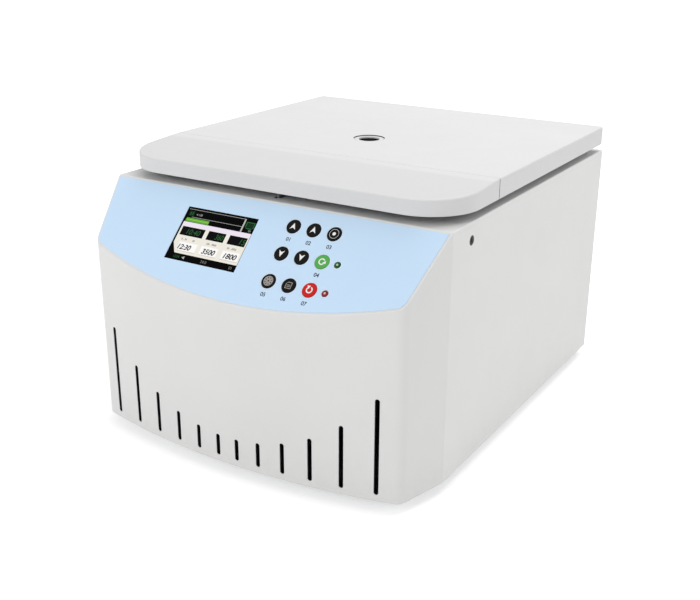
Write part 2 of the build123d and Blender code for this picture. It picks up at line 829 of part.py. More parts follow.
# ---------------------------------------------------------------- power supply and drive board
with BuildPart() as power_supply:
    with BuildSketch(Plane.XY.offset(base_top_z)):
        with Locations(supply_place):
            with GridLocations(supply_width - 2 * supply_foot, supply_length - 2 * supply_foot, 2, 2):
                Circle(supply_foot / 2)
    extrude(amount=supply_foot)
    with BuildSketch(Plane.XY.offset(base_top_z + supply_foot)):
        with Locations(supply_place):
            Rectangle(supply_width, supply_length)
    extrude(amount=supply_height)
    # cooling slots across the cover
    with BuildSketch(Plane.XY.offset(base_top_z + supply_foot + supply_height)):
        with Locations(supply_place):
            with GridLocations(0, supply_slot_pitch, 1, supply_slot_count):
                SlotOverall(supply_width - 4 * supply_foot, supply_slot_width)
    extrude(amount=-supply_slot_depth, mode=Mode.SUBTRACT)
finish(power_supply, "power_supply")

with BuildPart() as drive_board:
    with BuildSketch(Plane.XY.offset(base_top_z)):
        with Locations(drive_place):
            with GridLocations(drive_width - 2 * supply_foot, drive_length - 2 * supply_foot, 2, 2):
                Circle(supply_foot / 2)
    extrude(amount=supply_foot)
    with BuildSketch(Plane.XY.offset(base_top_z + supply_foot)):
        with Locations(drive_place):
            Rectangle(drive_width, drive_length)
    extrude(amount=board_thickness)
    # finned heat sink and two capacitors
    sink_plane = Plane.XY.offset(base_top_z + supply_foot + board_thickness)
    with BuildSketch(sink_plane):
        with Locations((drive_place[0] + drive_width / 4, drive_place[1])):
            Rectangle(sink_width, sink_length)
    extrude(amount=sink_base)
    with BuildSketch(sink_plane):
        with Locations((drive_place[0] + drive_width / 4, drive_place[1])):
            with GridLocations(sink_width / (sink_fin_count - 1) - sink_fin / (sink_fin_count - 1), 0, sink_fin_count, 1):
                Rectangle(sink_fin, sink_length)
    extrude(amount=sink_height)
    with BuildSketch(sink_plane):
        with Locations((drive_place[0] - drive_width / 4, drive_place[1])):
            with GridLocations(0, 3 * capacitor_radius, 1, 2):
                Circle(capacitor_radius)
    extrude(amount=capacitor_height)
finish(drive_board, "drive_board")

# ---------------------------------------------------------------- chamber
rotor_axis = Axis((0, rotor_y, 0), (0, 0, 1))
section_plane = Plane(origin=(0, rotor_y, 0), x_dir=(1, 0, 0), z_dir=(0, -1, 0))
flange_radius = bowl_radius + bowl_wall + bowl_flange
bowl_top_z = deck_z + bowl_wall
with BuildPart() as chamber_bowl:
    with BuildSketch(section_plane):
        with BuildLine():
            outside = FilletPolyline(
                (flange_radius, deck_z),
                (bowl_radius + bowl_wall, deck_z),
                (bowl_radius + bowl_wall, bowl_floor_z - bowl_wall),
                (collar_radius - bowl_wall, bowl_floor_z - bowl_wall),
                (collar_radius - bowl_wall, bowl_floor_z + collar_height - bowl_wall),
                (shaft_hole_radius, bowl_floor_z + collar_height - bowl_wall),
                radius=[bowl_wall, bowl_corner_radius + bowl_wall, bowl_wall, bowl_wall],
            )
            inside = FilletPolyline(
                (shaft_hole_radius, bowl_floor_z + collar_height),
                (collar_radius, bowl_floor_z + collar_height),
                (collar_radius, bowl_floor_z),
                (bowl_radius, bowl_floor_z),
                (bowl_radius, bowl_top_z),
                (flange_radius, bowl_top_z),
                radius=[2 * bowl_wall, 2 * bowl_wall, bowl_corner_radius, 2 * bowl_wall],
            )
            Line(outside @ 1, inside @ 0)
            Line(inside @ 1, outside @ 0)
        make_face()
    revolve(axis=rotor_axis)
finish(chamber_bowl, "chamber_bowl")

chamber_plate_z = lid_bottom_z - chamber_plate_thickness
gasket_top_z = chamber_plate_z - gasket_squeeze_gap
with BuildPart() as chamber_gasket:
    with BuildSketch(section_plane):
        with Locations((bowl_radius + gasket_set_out + gasket_width / 2, (bowl_top_z + gasket_top_z) / 2)):
            gasket_section = Rectangle(gasket_width, gasket_top_z - bowl_top_z)
        fillet(gasket_section.vertices().group_by(Axis.Y)[-1], radius=gasket_width / 3)
    revolve(axis=rotor_axis)
finish(chamber_gasket, "chamber_gasket")

# ---------------------------------------------------------------- drive
motor_plane = Plane.XY.offset(motor_plate_z)
with BuildPart() as motor_plate:
    with BuildSketch(motor_plane):
        with Locations((0, rotor_y)):
            RectangleRounded(motor_plate_size, motor_plate_size, damper_radius)
            Circle(motor_boss_radius + stack_gap, mode=Mode.SUBTRACT)
    extrude(amount=motor_plate_thickness)
finish(motor_plate, "motor_plate")

with BuildPart() as drive_motor:
    with BuildSketch(Plane.XY.offset(motor_plate_z - motor_height)):
        with Locations((0, rotor_y)):
            Circle(motor_radius)
    extrude(amount=motor_height)
    # cooling flutes around the body, between its two end caps
    with BuildSketch(Plane.XY.offset(motor_plate_z - motor_height + motor_cap_height)):
        with Locations((0, rotor_y)):
            with PolarLocations(motor_radius, motor_flute_count):
                Rectangle(2 * motor_flute_depth, motor_flute_width)
    extrude(amount=motor_height - 2 * motor_cap_height, mode=Mode.SUBTRACT)
    with BuildSketch(motor_plane):
        with Locations((0, rotor_y)):
            Circle(motor_boss_radius)
    extrude(amount=motor_boss_height)
    with BuildSketch(motor_plane.offset(motor_boss_height)):
        with Locations((0, rotor_y)):
            Circle(spindle_radius + running_clearance)
    extrude(amount=-spindle_grip, mode=Mode.SUBTRACT)
finish(drive_motor, "drive_motor")

with BuildPart() as motor_dampers:
    with BuildSketch(Plane.XY.offset(damper_bottom_z)):
        with Locations(*damper_places):
            Circle(damper_radius)
    extrude(amount=damper_height)
    barrels = motor_dampers.edges().filter_by(GeomType.CIRCLE)
    chamfer(barrels, length=damper_radius / 6)
finish(motor_dampers, "motor_dampers")

# ---------------------------------------------------------------- rotor
spindle_foot_z = motor_plate_z + motor_boss_height - spindle_grip + running_clearance
spindle_shoulder_z = hub_top_z - hub_web - hub_web_clearance
with BuildPart() as rotor_spindle:
    with BuildSketch(Plane.XY.offset(spindle_foot_z)):
        with Locations((0, rotor_y)):
            Circle(spindle_radius)
    extrude(amount=spindle_shoulder_z - spindle_foot_z)
    # seat under the hub, and the thread for the knob
    with BuildSketch(Plane.XY.offset(disc_z)):
        with Locations((0, rotor_y)):
            Circle(spindle_seat_radius)
    extrude(amount=-spindle_seat_height)
    with BuildSketch(Plane.XY.offset(spindle_shoulder_z)):
        with Locations((0, rotor_y)):
            Circle(stud_radius)
    extrude(amount=hub_top_z + stud_height - spindle_shoulder_z)
    chamfer(rotor_spindle.edges().sort_by(Axis.Z)[-1], length=stud_radius / 5)
finish(rotor_spindle, "rotor_spindle")

clip_outer_width = slide_width + 2 * clip_side_clearance + 2 * clip_sheet
clip_depth = clip_sheet + 4 * stack_gap + slide_thickness + card_thickness + plate_thickness + clip_sheet
slide_radius = clip_radius - stack_gap - slide_thickness  # inner face of a slide
card_radius = slide_radius - stack_gap - card_thickness
plate_radius = card_radius - stack_gap - plate_thickness
slide_z = clip_z + clip_sheet + stack_gap
with BuildPart() as rotor_head:
    with BuildSketch(Plane.XY.offset(disc_z)):
        with Locations((0, rotor_y)):
            Circle(disc_radius)
    extrude(amount=disc_thickness)
    # shallow pockets that lighten the disc
    with BuildSketch(Plane.XY.offset(clip_z)):
        with Locations((0, rotor_y)):
            with PolarLocations(pocket_circle, station_count // 2):
                Circle(pocket_radius)
    extrude(amount=-pocket_depth, mode=Mode.SUBTRACT)
    # hub with a shoulder
    with BuildSketch(section_plane):
        with BuildLine():
            FilletPolyline(
                (0, disc_z),
                (hub_radius + hub_shoulder, disc_z),
                (hub_radius + hub_shoulder, clip_z),
                (hub_radius, clip_z + hub_shoulder),
                (hub_radius, hub_top_z),
                (0, hub_top_z),
                close=True,
                radius=hub_edge,
            )
        make_face()
    revolve(axis=rotor_axis)
    # bore for the spindle up to the web, and the stud's hole through the web
    with BuildSketch(Plane.XY.offset(disc_z)):
        with Locations((0, rotor_y)):
            Circle(spindle_radius + running_clearance)
    extrude(amount=hub_height - hub_web, mode=Mode.SUBTRACT)
    with BuildSketch(Plane.XY.offset(disc_z)):
        with Locations((0, rotor_y)):
            Circle(stud_radius + running_clearance)
    extrude(amount=hub_height, mode=Mode.SUBTRACT)
finish(rotor_head, "rotor_head")

# cradles that stand on the disc and hold the clips against the pull of the spin
with BuildPart() as clip_cradles:
    with BuildSketch(Plane.XY.offset(clip_z)):
        with Locations((0, rotor_y)):
            with PolarLocations(clip_radius + clip_sheet + cradle_clearance + cradle_back, station_count):
                with Locations((-cradle_length / 2, 0)):
                    Rectangle(cradle_length, clip_outer_width + 2 * cradle_clearance + 2 * cradle_wall)
            with PolarLocations(clip_radius + clip_sheet + cradle_clearance, station_count):
                with Locations((-cradle_length / 2, 0)):
                    Rectangle(cradle_length, clip_outer_width + 2 * cradle_clearance, mode=Mode.SUBTRACT)
    extrude(amount=cradle_height)
finish(clip_cradles, "clip_cradles")

with BuildPart() as rotor_nut:
    with BuildSketch(Plane.XY.offset(hub_top_z + running_clearance)):
        with Locations((0, rotor_y)):
            Circle(knob_radius)
            with PolarLocations(knob_radius + knob_scallop_radius / 3, knob_scallops):
                Circle(knob_scallop_radius, mode=Mode.SUBTRACT)
    extrude(amount=knob_height)
    with BuildSketch(Plane.XY.offset(hub_top_z + running_clearance)):
        with Locations((0, rotor_y)):
            Circle(stud_radius + running_clearance)
    extrude(amount=stud_height + running_clearance, mode=Mode.SUBTRACT)
    chamfer(rotor_nut.faces().sort_by(Axis.Z)[-1].edges(), length=knob_edge)
finish(rotor_nut, "rotor_nut")

with BuildPart() as slide_clips:
    with BuildSketch(Plane.XY.offset(clip_z)):
        with Locations((0, rotor_y)):
            with PolarLocations(clip_radius + clip_sheet - clip_depth / 2, station_count):
                Rectangle(clip_depth, clip_outer_width)
    extrude(amount=clip_height)
    # the channel for slide, card and funnel plate, open towards the rotor's middle between two lips
    with BuildSketch(Plane.XY.offset(clip_z + clip_sheet)):
        with Locations((0, rotor_y)):
            with PolarLocations(clip_radius + clip_sheet - clip_depth / 2, station_count):
                Rectangle(clip_depth - 2 * clip_sheet, clip_outer_width - 2 * clip_sheet)
                with Locations((-clip_sheet, 0)):
                    Rectangle(clip_depth - 2 * clip_sheet, clip_outer_width - 2 * clip_sheet - 2 * lip_width)
    extrude(amount=clip_height, mode=Mode.SUBTRACT)
finish(slide_clips, "slide_clips")


def station_plate(name, inner_radius, thickness, width, z, height):
    """Makes one flat plate in each clip and writes the set."""
    with BuildPart() as plates:
        with BuildSketch(Plane.XY.offset(z)):
            with Locations((0, rotor_y)):
                with PolarLocations(inner_radius + thickness / 2, station_count):
                    Rectangle(thickness, width)
        extrude(amount=height)
    finish(plates, name)


station_plate("glass_slides", slide_radius, slide_thickness, slide_width, slide_z, slide_height)
station_plate("filter_cards", card_radius, card_thickness, slide_width, slide_z, card_height)

cup_centre_radius = plate_radius - stack_gap - cap_radius
cup_z = slide_z + cup_foot
with BuildPart() as sample_funnels:
    with BuildSketch(Plane.XY.offset(slide_z)):
        with Locations((0, rotor_y)):
            with PolarLocations(plate_radius + plate_thickness / 2, station_count):
                Rectangle(plate_thickness, slide_width)
    extrude(amount=funnel_height)
    with BuildSketch(Plane.XY.offset(cup_z)):
        with Locations((0, rotor_y)):
            with PolarLocations(cup_centre_radius, station_count):
                Circle(cup_radius)
    extrude(amount=cup_height)
    # outlet from the cup to the plate
    with BuildSketch(Plane.XY.offset(cup_z)):
        with Locations((0, rotor_y)):
            with PolarLocations((cup_centre_radius + plate_radius) / 2, station_count):
                Rectangle(plate_radius - cup_centre_radius + 2 * stack_gap, cup_radius)
    extrude(amount=outlet_height)
    with BuildSketch(Plane.XY.offset(cup_z + cup_wall)):
        with Locations((0, rotor_y)):
            with PolarLocations(cup_centre_radius, station_count):
                Circle(cup_radius - cup_wall)
    extrude(amount=cup_height, mode=Mode.SUBTRACT)
finish(sample_funnels, "sample_funnels")

with BuildPart() as funnel_caps:
    with BuildSketch(Plane.XY.offset(cup_z + cup_height)):
        with Locations((0, rotor_y)):
            with PolarLocations(cup_centre_radius, station_count):
                Circle(cap_radius)
    extrude(amount=cap_height)
    with BuildSketch(Plane.XY.offset(cup_z + cup_height)):
        with Locations((0, rotor_y)):
            with PolarLocations(cup_centre_radius, station_count):
                Circle(cup_radius - cup_wall - stack_gap)
    extrude(amount=-cap_height)
finish(funnel_caps, "funnel_caps")

# ---------------------------------------------------------------- lid
nose_angle = degrees(atan2(nose_drop, crease_set_back))
nose_plane = Plane(
    origin=(0, crease_y, lid_top_z),
    x_dir=(1, 0, 0),
    z_dir=(0, -sin(radians(nose_angle)), cos(radians(nose_angle))),
)
seam_plane = Plane(origin=(0, crease_y, 0), x_dir=(-1, 0, 0), z_dir=(0, 1, 0))
ear_offset = knuckle_length / 2 + knuckle_gap + ear_thickness / 2
ear_span = knuckle_length + 2 * knuckle_gap + 2 * ear_thickness
hinge_places = (-hinge_spacing / 2, hinge_spacing / 2)
port_tube_radius = port_radius + port_tube_wall


def lid_outline(inset):
    """The lid seen from above, drawn in by an inset: rounded at the front, nearly square at the back."""
    with BuildSketch() as outline:
        with Locations((0, (deck_front_y + lid_back_y) / 2)):
            Rectangle(case_width, lid_back_y - deck_front_y)
        fillet(outline.vertices().group_by(Axis.Y)[0], radius=lid_corner_radius)
        fillet(outline.vertices().group_by(Axis.Y)[-1], radius=lid_back_radius)
        offset(amount=-inset)
    return outline.sketch


with BuildPart() as lid_hollow:
    with BuildSketch(Plane.XY.offset(deck_z)):
        add(lid_outline(lid_wall))
    extrude(amount=lid_ceiling_z - deck_z)
    split(bisect_by=nose_plane.offset(-lid_wall), keep=Keep.BOTTOM)

with BuildPart() as whole_lid:
    with BuildSketch(Plane.XY.offset(lid_bottom_z)):
        add(lid_outline(0))
    extrude(amount=lid_thickness)
    split(bisect_by=nose_plane, keep=Keep.BOTTOM)
    nose_face = whole_lid.faces().sort_by(Axis(nose_plane.origin, nose_plane.z_dir))[-1]
    top_face = whole_lid.faces().sort_by(Axis.Z)[-1]
    rim = (top_face.edges() + nose_face.edges()).filter_by(lambda edge: abs(edge.center().Y - crease_y) > seam_width)
    fillet(rim, radius=lid_edge_radius)
    add(lid_hollow, mode=Mode.SUBTRACT)

with BuildPart() as lid_shell:
    add(whole_lid)
    split(bisect_by=seam_plane, keep=Keep.TOP)
    with BuildSketch(Plane.XY.offset(lid_ceiling_z)):
        with Locations((0, rotor_y)):
            Circle(port_rim_radius + port_fit)
    extrude(amount=2 * lid_wall, mode=Mode.SUBTRACT)
    # notches around the hinges, so that the lid's back can drop past them
    with BuildSketch(Plane.XZ.offset(-lid_back_y - lid_wall)):
        for hinge_x in hinge_places:
            with Locations((hinge_x, lid_bottom_z)):
                Rectangle(ear_span + 2 * hinge_notch_margin, 2 * hinge_notch_rise)
    extrude(amount=3 * lid_wall, mode=Mode.SUBTRACT)
finish(lid_shell, "lid_shell")

with BuildPart() as lid_front_cap:
    add(whole_lid)
    split(bisect_by=seam_plane.offset(-seam_width), keep=Keep.BOTTOM)
finish(lid_front_cap, "lid_front_cap")

hinge_notch_length = knuckle_radius + hinge_notch_margin
with BuildPart() as lid_liner:
    with BuildSketch(Plane.XY.offset(lid_bottom_z)):
        add(lid_outline(lid_wall + liner_clearance))
        with Locations((0, rotor_y)):
            Circle(port_radius - port_ledge, mode=Mode.SUBTRACT)
        with Locations((0, lock_y)):
            Rectangle(
                striker_thickness + 2 * liner_clearance, striker_width + 2 * liner_clearance, mode=Mode.SUBTRACT
            )
        for hinge_x in hinge_places:
            with Locations((hinge_x, hinge_y)):
                Rectangle(
                    ear_span + 2 * hinge_notch_margin,
                    2 * hinge_notch_length,
                    mode=Mode.SUBTRACT,
                )
    extrude(amount=liner_thickness)
finish(lid_liner, "lid_liner")

with BuildPart() as chamber_plate:
    with BuildSketch(Plane.XY.offset(chamber_plate_z)):
        with Locations((0, rotor_y)):
            Circle(bowl_radius + gasket_set_out + gasket_width + chamber_plate_margin)
            Circle(port_radius - port_ledge, mode=Mode.SUBTRACT)
    extrude(amount=chamber_plate_thickness)
finish(chamber_plate, "chamber_plate")

window_top_z = lid_top_z - port_window_drop
ring_z = lid_top_z - port_ring_drop
window_seat_z = window_top_z - window_thickness
with BuildPart() as lid_port_bezel:
    with BuildSketch(section_plane):
        with BuildLine():
            Polyline(
                (port_tube_radius, liner_top_z),
                (port_tube_radius, lid_ceiling_z),
                (port_rim_radius, lid_ceiling_z),
                (port_rim_radius, ring_z),
                (port_radius, ring_z),
                (port_radius, window_seat_z),
                (port_radius - port_ledge, window_seat_z),
                (port_radius - port_ledge, liner_top_z),
                close=True,
            )
        make_face()
    revolve(axis=rotor_axis)
finish(lid_port_bezel, "lid_port_bezel")

with BuildPart() as lid_window:
    with BuildSketch(Plane.XY.offset(window_seat_z)):
        with Locations((0, rotor_y)):
            Circle(port_radius - running_clearance)
    extrude(amount=window_thickness)
finish(lid_window, "lid_window")

striker_foot_z = lock_z - striker_window / 2 - striker_below_window
with BuildPart() as lid_striker:
    with BuildSketch(Plane.YZ):
        with Locations((lock_y, (striker_foot_z + liner_top_z) / 2)):
            Rectangle(striker_width, liner_top_z - striker_foot_z)
        with Locations((lock_y, lock_z)):
            RectangleRounded(striker_window, striker_window, striker_thickness / 2, mode=Mode.SUBTRACT)
    extrude(amount=striker_thickness / 2, both=True)
    # foot that clamps it to the liner
    with BuildSketch(Plane.XY.offset(liner_top_z)):
        with Locations((0, lock_y)):
            RectangleRounded(2 * striker_width, striker_width, striker_thickness)
    extrude(amount=striker_thickness)
finish(lid_striker, "lid_striker")

# ---------------------------------------------------------------- hinges
with BuildPart() as hinge_brackets:
    for hinge_x in hinge_places:
        with BuildSketch(Plane.XY.offset(deck_z)):
            with Locations((hinge_x, hinge_y + knuckle_radius - hinge_base_length / 2)):
                Rectangle(ear_span, hinge_base_length)
        extrude(amount=hinge_base_thickness)
        for side in (-1, 1):
            with BuildSketch(Plane.YZ.offset(hinge_x + side * ear_offset)):
                with Locations((hinge_y, hinge_z)):
                    Circle(knuckle_radius)
                with Locations((hinge_y, (deck_z + hinge_z) / 2)):
                    Rectangle(2 * knuckle_radius, hinge_height)
                with Locations((hinge_y, hinge_z)):
                    Circle(hinge_pin_radius, mode=Mode.SUBTRACT)
            extrude(amount=ear_thickness / 2, both=True)
finish(hinge_brackets, "hinge_brackets")

with BuildPart() as hinge_pins:
    for hinge_x in hinge_places:
        with BuildSketch(Plane.YZ.offset(hinge_x)):
            with Locations((hinge_y, hinge_z)):
                Circle(hinge_pin_radius)
        extrude(amount=ear_span / 2, both=True)
finish(hinge_pins, "hinge_pins")

with BuildPart() as hinge_leaves:
    for hinge_x in hinge_places:
        with BuildSketch(Plane.YZ.offset(hinge_x)):
            with Locations((hinge_y, hinge_z)):
                Circle(knuckle_radius)
        extrude(amount=knuckle_length / 2, both=True)
        # neck over the liner's notch, then the plate that is screwed to the liner
        with BuildSketch(Plane.XY.offset(liner_top_z)):
            with Locations((hinge_x, hinge_y - hinge_leaf_length / 2)):
                Rectangle(knuckle_length, hinge_leaf_length)
            with Locations((hinge_x, hinge_y - (hinge_leaf_length + hinge_notch_length + 1) / 2)):
                Rectangle(hinge_leaf_width, hinge_leaf_length - hinge_notch_length - 1)
        extrude(amount=hinge_leaf_thickness)
        with BuildSketch(Plane.YZ.offset(hinge_x)):
            with Locations((hinge_y, hinge_z)):
                Circle(hinge_pin_radius + running_clearance)
        extrude(amount=knuckle_length / 2, both=True, mode=Mode.SUBTRACT)
finish(hinge_leaves, "hinge_leaves")

# ---------------------------------------------------------------- lid lock and release
bolt_tip_x = -(striker_thickness / 2 + bolt_retract_gap)
solenoid_front_x = bolt_tip_x - bolt_stand
arm_x = solenoid_front_x - solenoid_length - bolt_travel - 2 * arm_thickness
with BuildPart() as lock_solenoid:
    with BuildSketch(Plane.YZ.offset(solenoid_front_x)):
        with Locations((lock_y, lock_z)):
            Rectangle(solenoid_width, solenoid_height)
            Circle(bolt_radius + running_clearance, mode=Mode.SUBTRACT)
    extrude(amount=-solenoid_length)
finish(lock_solenoid, "lock_solenoid")

with BuildPart() as lock_bolt:
    with BuildSketch(Plane.YZ.offset(bolt_tip_x)):
        with Locations((lock_y, lock_z)):
            Circle(bolt_radius)
    extrude(amount=arm_x - bolt_tip_x)
    chamfer(lock_bolt.edges().sort_by(Axis.X)[-1], length=bolt_radius / 4)
    # arm across to the release rod
    with BuildSketch(Plane.YZ.offset(arm_x)):
        with Locations((lock_y, lock_z), (rod_y, lock_z)):
            Circle(arm_radius)
        with Locations(((lock_y + rod_y) / 2, lock_z)):
            Rectangle(rod_y - lock_y, 2 * arm_radius)
        with Locations((rod_y, lock_z)):
            Circle(rod_radius, mode=Mode.SUBTRACT)
    extrude(amount=arm_thickness)
finish(lock_bolt, "lock_bolt")

rod_end_x = half_width - rod_end_gap
with BuildPart() as release_rod:
    with BuildSketch(Plane.YZ.offset(arm_x)):
        with Locations((rod_y, lock_z)):
            Circle(rod_radius)
    extrude(amount=rod_end_x - arm_x)
    chamfer(release_rod.edges().sort_by(Axis.X)[-1], length=rod_radius / 4)
finish(release_rod, "release_rod")

solenoid_top_z = lock_z + solenoid_height / 2
with BuildPart() as lock_brackets:
    with BuildSketch(Plane.XY.offset(solenoid_top_z)):
        with Locations((solenoid_front_x - solenoid_length / 2, lock_y)):
            Rectangle(solenoid_length, solenoid_width)
    extrude(amount=deck_underside_z - solenoid_top_z)
    # two hanging guides for the rod
    for guide_x in rod_guide_places:
        with BuildSketch(Plane.YZ.offset(guide_x)):
            with Locations((rod_y, (lock_z - arm_radius + deck_underside_z) / 2)):
                Rectangle(2 * arm_radius, deck_underside_z - lock_z + arm_radius)
            with Locations((rod_y, lock_z)):
                Circle(rod_radius + stack_gap, mode=Mode.SUBTRACT)
        extrude(amount=bracket_sheet)
        with BuildSketch(Plane.XY.offset(deck_underside_z)):
            with Locations((guide_x + guide_foot / 2, rod_y)):
                Rectangle(guide_foot, 2 * arm_radius)
        extrude(amount=-bracket_sheet)
finish(lock_brackets, "lock_brackets")

with BuildPart() as release_hole_plug:
    with BuildSketch(Plane.YZ.offset(half_width - plug_recess)):
        with Locations((rod_y, lock_z)):
            Circle(release_hole_radius - plug_clearance)
    extrude(amount=-plug_length)
    # coin slot across its face
    with BuildSketch(Plane.YZ.offset(half_width - plug_recess)):
        with Locations((rod_y, lock_z)):
            Rectangle(plug_slot_width, release_hole_radius)
    extrude(amount=-2 * plug_slot_width, mode=Mode.SUBTRACT)
finish(release_hole_plug, "release_hole_plug")
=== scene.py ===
"""Bench cytocentrifuge: its finishes, printed marks, display picture, small fittings and studio.

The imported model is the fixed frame. Local shapes are drawn in millimetres and placed in metres, with X to
the right as seen from the front, Y to the back and Z up.
"""

from __future__ import annotations

import json
import logging
import math
import sys
from abc import ABC, abstractmethod
from contextlib import contextmanager
from dataclasses import dataclass, field
from enum import Enum
from functools import cached_property
from typing import Iterator, Sequence, Union

import bmesh
import bpy
from mathutils import Euler, Matrix, Vector

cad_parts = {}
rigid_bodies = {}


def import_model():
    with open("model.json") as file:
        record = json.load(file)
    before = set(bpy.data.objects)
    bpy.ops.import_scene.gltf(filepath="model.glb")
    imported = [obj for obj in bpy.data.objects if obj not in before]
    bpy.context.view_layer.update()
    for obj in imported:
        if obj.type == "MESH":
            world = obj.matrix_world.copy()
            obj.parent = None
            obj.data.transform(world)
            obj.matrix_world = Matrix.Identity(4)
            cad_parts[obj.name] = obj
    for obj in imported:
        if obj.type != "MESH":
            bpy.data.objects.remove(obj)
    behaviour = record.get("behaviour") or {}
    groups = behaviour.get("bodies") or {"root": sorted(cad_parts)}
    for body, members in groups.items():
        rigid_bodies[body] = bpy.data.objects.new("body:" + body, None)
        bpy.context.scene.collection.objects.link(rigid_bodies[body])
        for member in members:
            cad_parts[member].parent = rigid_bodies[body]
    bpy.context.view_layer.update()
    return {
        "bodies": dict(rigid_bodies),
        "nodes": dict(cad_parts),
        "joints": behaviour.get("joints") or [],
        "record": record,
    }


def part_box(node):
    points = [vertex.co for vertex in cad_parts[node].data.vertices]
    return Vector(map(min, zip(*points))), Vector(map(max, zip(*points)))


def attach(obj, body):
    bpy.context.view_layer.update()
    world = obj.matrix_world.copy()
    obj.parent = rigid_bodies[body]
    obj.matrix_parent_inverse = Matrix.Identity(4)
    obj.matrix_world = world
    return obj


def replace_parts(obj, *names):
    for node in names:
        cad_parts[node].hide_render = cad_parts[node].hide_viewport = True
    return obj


MM = 0.001
LEAN = math.sqrt(0.5)  # the control face slopes at 45 degrees

Colour = tuple[float, float, float, float]
Point = tuple[float, float]
Triple = tuple[float, float, float]
Socket = bpy.types.NodeSocket
Fed = Union[Socket, float, Colour]  # what a socket can be given

WHITE: Colour = (1.0, 1.0, 1.0, 1.0)

log = logging.getLogger("cytocentrifuge")


def paint(red: float, green: float, blue: float) -> Colour:
    """Turns a colour as it is seen into the linear one that a shader takes.

    Args:
        red: Red, from 0 to 255.
        green: Green, from 0 to 255.
        blue: Blue, from 0 to 255.

    Returns:
        The linear colour, opaque.
    """

    def linear(channel: float) -> float:
        """Undoes the screen's curve for one channel."""
        part = channel / 255
        return part / 12.92 if part <= 0.04045 else ((part + 0.055) / 1.055) ** 2.4

    return linear(red), linear(green), linear(blue), 1.0


def toned(colour: Colour, share: float) -> Colour:
    """A colour made lighter or darker by a share."""
    return colour[0] * share, colour[1] * share, colour[2] * share, colour[3]


def frame_at(origin: Sequence[float], across: Sequence[float], up: Sequence[float]) -> Matrix:
    """The place of a flat drawing.

    Args:
        origin: Where the drawing's zero lies, in millimetres.
        across: The direction of the drawing's X.
        up: The direction of the drawing's Y.

    Returns:
        A matrix from millimetres on the drawing to metres in the row frame.
    """
    x_axis = Vector(across).normalized()
    y_axis = Vector(up).normalized()
    turn = Matrix((x_axis, y_axis, x_axis.cross(y_axis))).transposed().to_4x4()
    return Matrix.Translation(Vector(origin) * MM) @ turn @ Matrix.Scale(MM, 4)


def turned(angle: float) -> Matrix:
    """A turn about the drawing's Z, in degrees."""
    return Matrix.Rotation(math.radians(angle), 4, "Z")


def span(node: str) -> tuple[Vector, Vector]:
    """The lowest and highest corner of a CAD node at rest, in millimetres."""
    low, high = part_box(node)
    return Vector(low) / MM, Vector(high) / MM


def stand(name: str, data: bpy.types.ID) -> bpy.types.Object:
    """Puts a new object with its data in the scene.

    Args:
        name: The object's name.
        data: Its mesh, curve, light or camera.

    Returns:
        The object, at the origin.
    """
    made = bpy.data.objects.new(name, data)
    bpy.context.scene.collection.objects.link(made)
    return made


# ---------------------------------------------------------------- materials


class Tree:
    """A node tree, with short calls that add and join nodes."""

    def __init__(self, owner: Union[bpy.types.Material, bpy.types.World]) -> None:
        """Empties a node tree.

        Args:
            owner: The material or world whose tree it is.
        """
        owner.use_nodes = True
        self.tree = owner.node_tree
        self.tree.nodes.clear()

    def feed(self, socket: Socket, value: Fed) -> None:
        """Sets a socket, or joins it to the output that feeds it.

        Args:
            socket: The input.
            value: The value or the output.
        """
        if isinstance(value, Socket):
            self.tree.links.new(value, socket)
        else:
            socket.default_value = value

    def node(self, kind: str, sockets: dict | None = None, **settings: object) -> bpy.types.Node:
        """Adds a node.

        Args:
            kind: The node's type.
            sockets: Input name or index, with the value or the output that feeds it.
            **settings: The node's own settings.

        Returns:
            The new node.
        """
        made = self.tree.nodes.new(kind)
        for name, value in settings.items():
            setattr(made, name, value)
        for socket, value in (sockets or {}).items():
            self.feed(made.inputs[socket], value)
        return made

    def sums(self, first: Fed, second: Fed, operation: str = "MULTIPLY") -> Socket:
        """One step of arithmetic on two values."""
        return self.node("ShaderNodeMath", {0: first, 1: second}, operation=operation).outputs[0]

    def seen(self) -> Socket:
        """Tells the rays that show a thing from those that it lights others with.

        Returns:
            One for the rays that show it, and none for the others.
        """
        rays = self.node("ShaderNodeLightPath").outputs
        direct = self.sums(rays["Is Camera Ray"], rays["Is Glossy Ray"], "MAXIMUM")
        return self.sums(direct, rays["Is Transmission Ray"], "MAXIMUM")


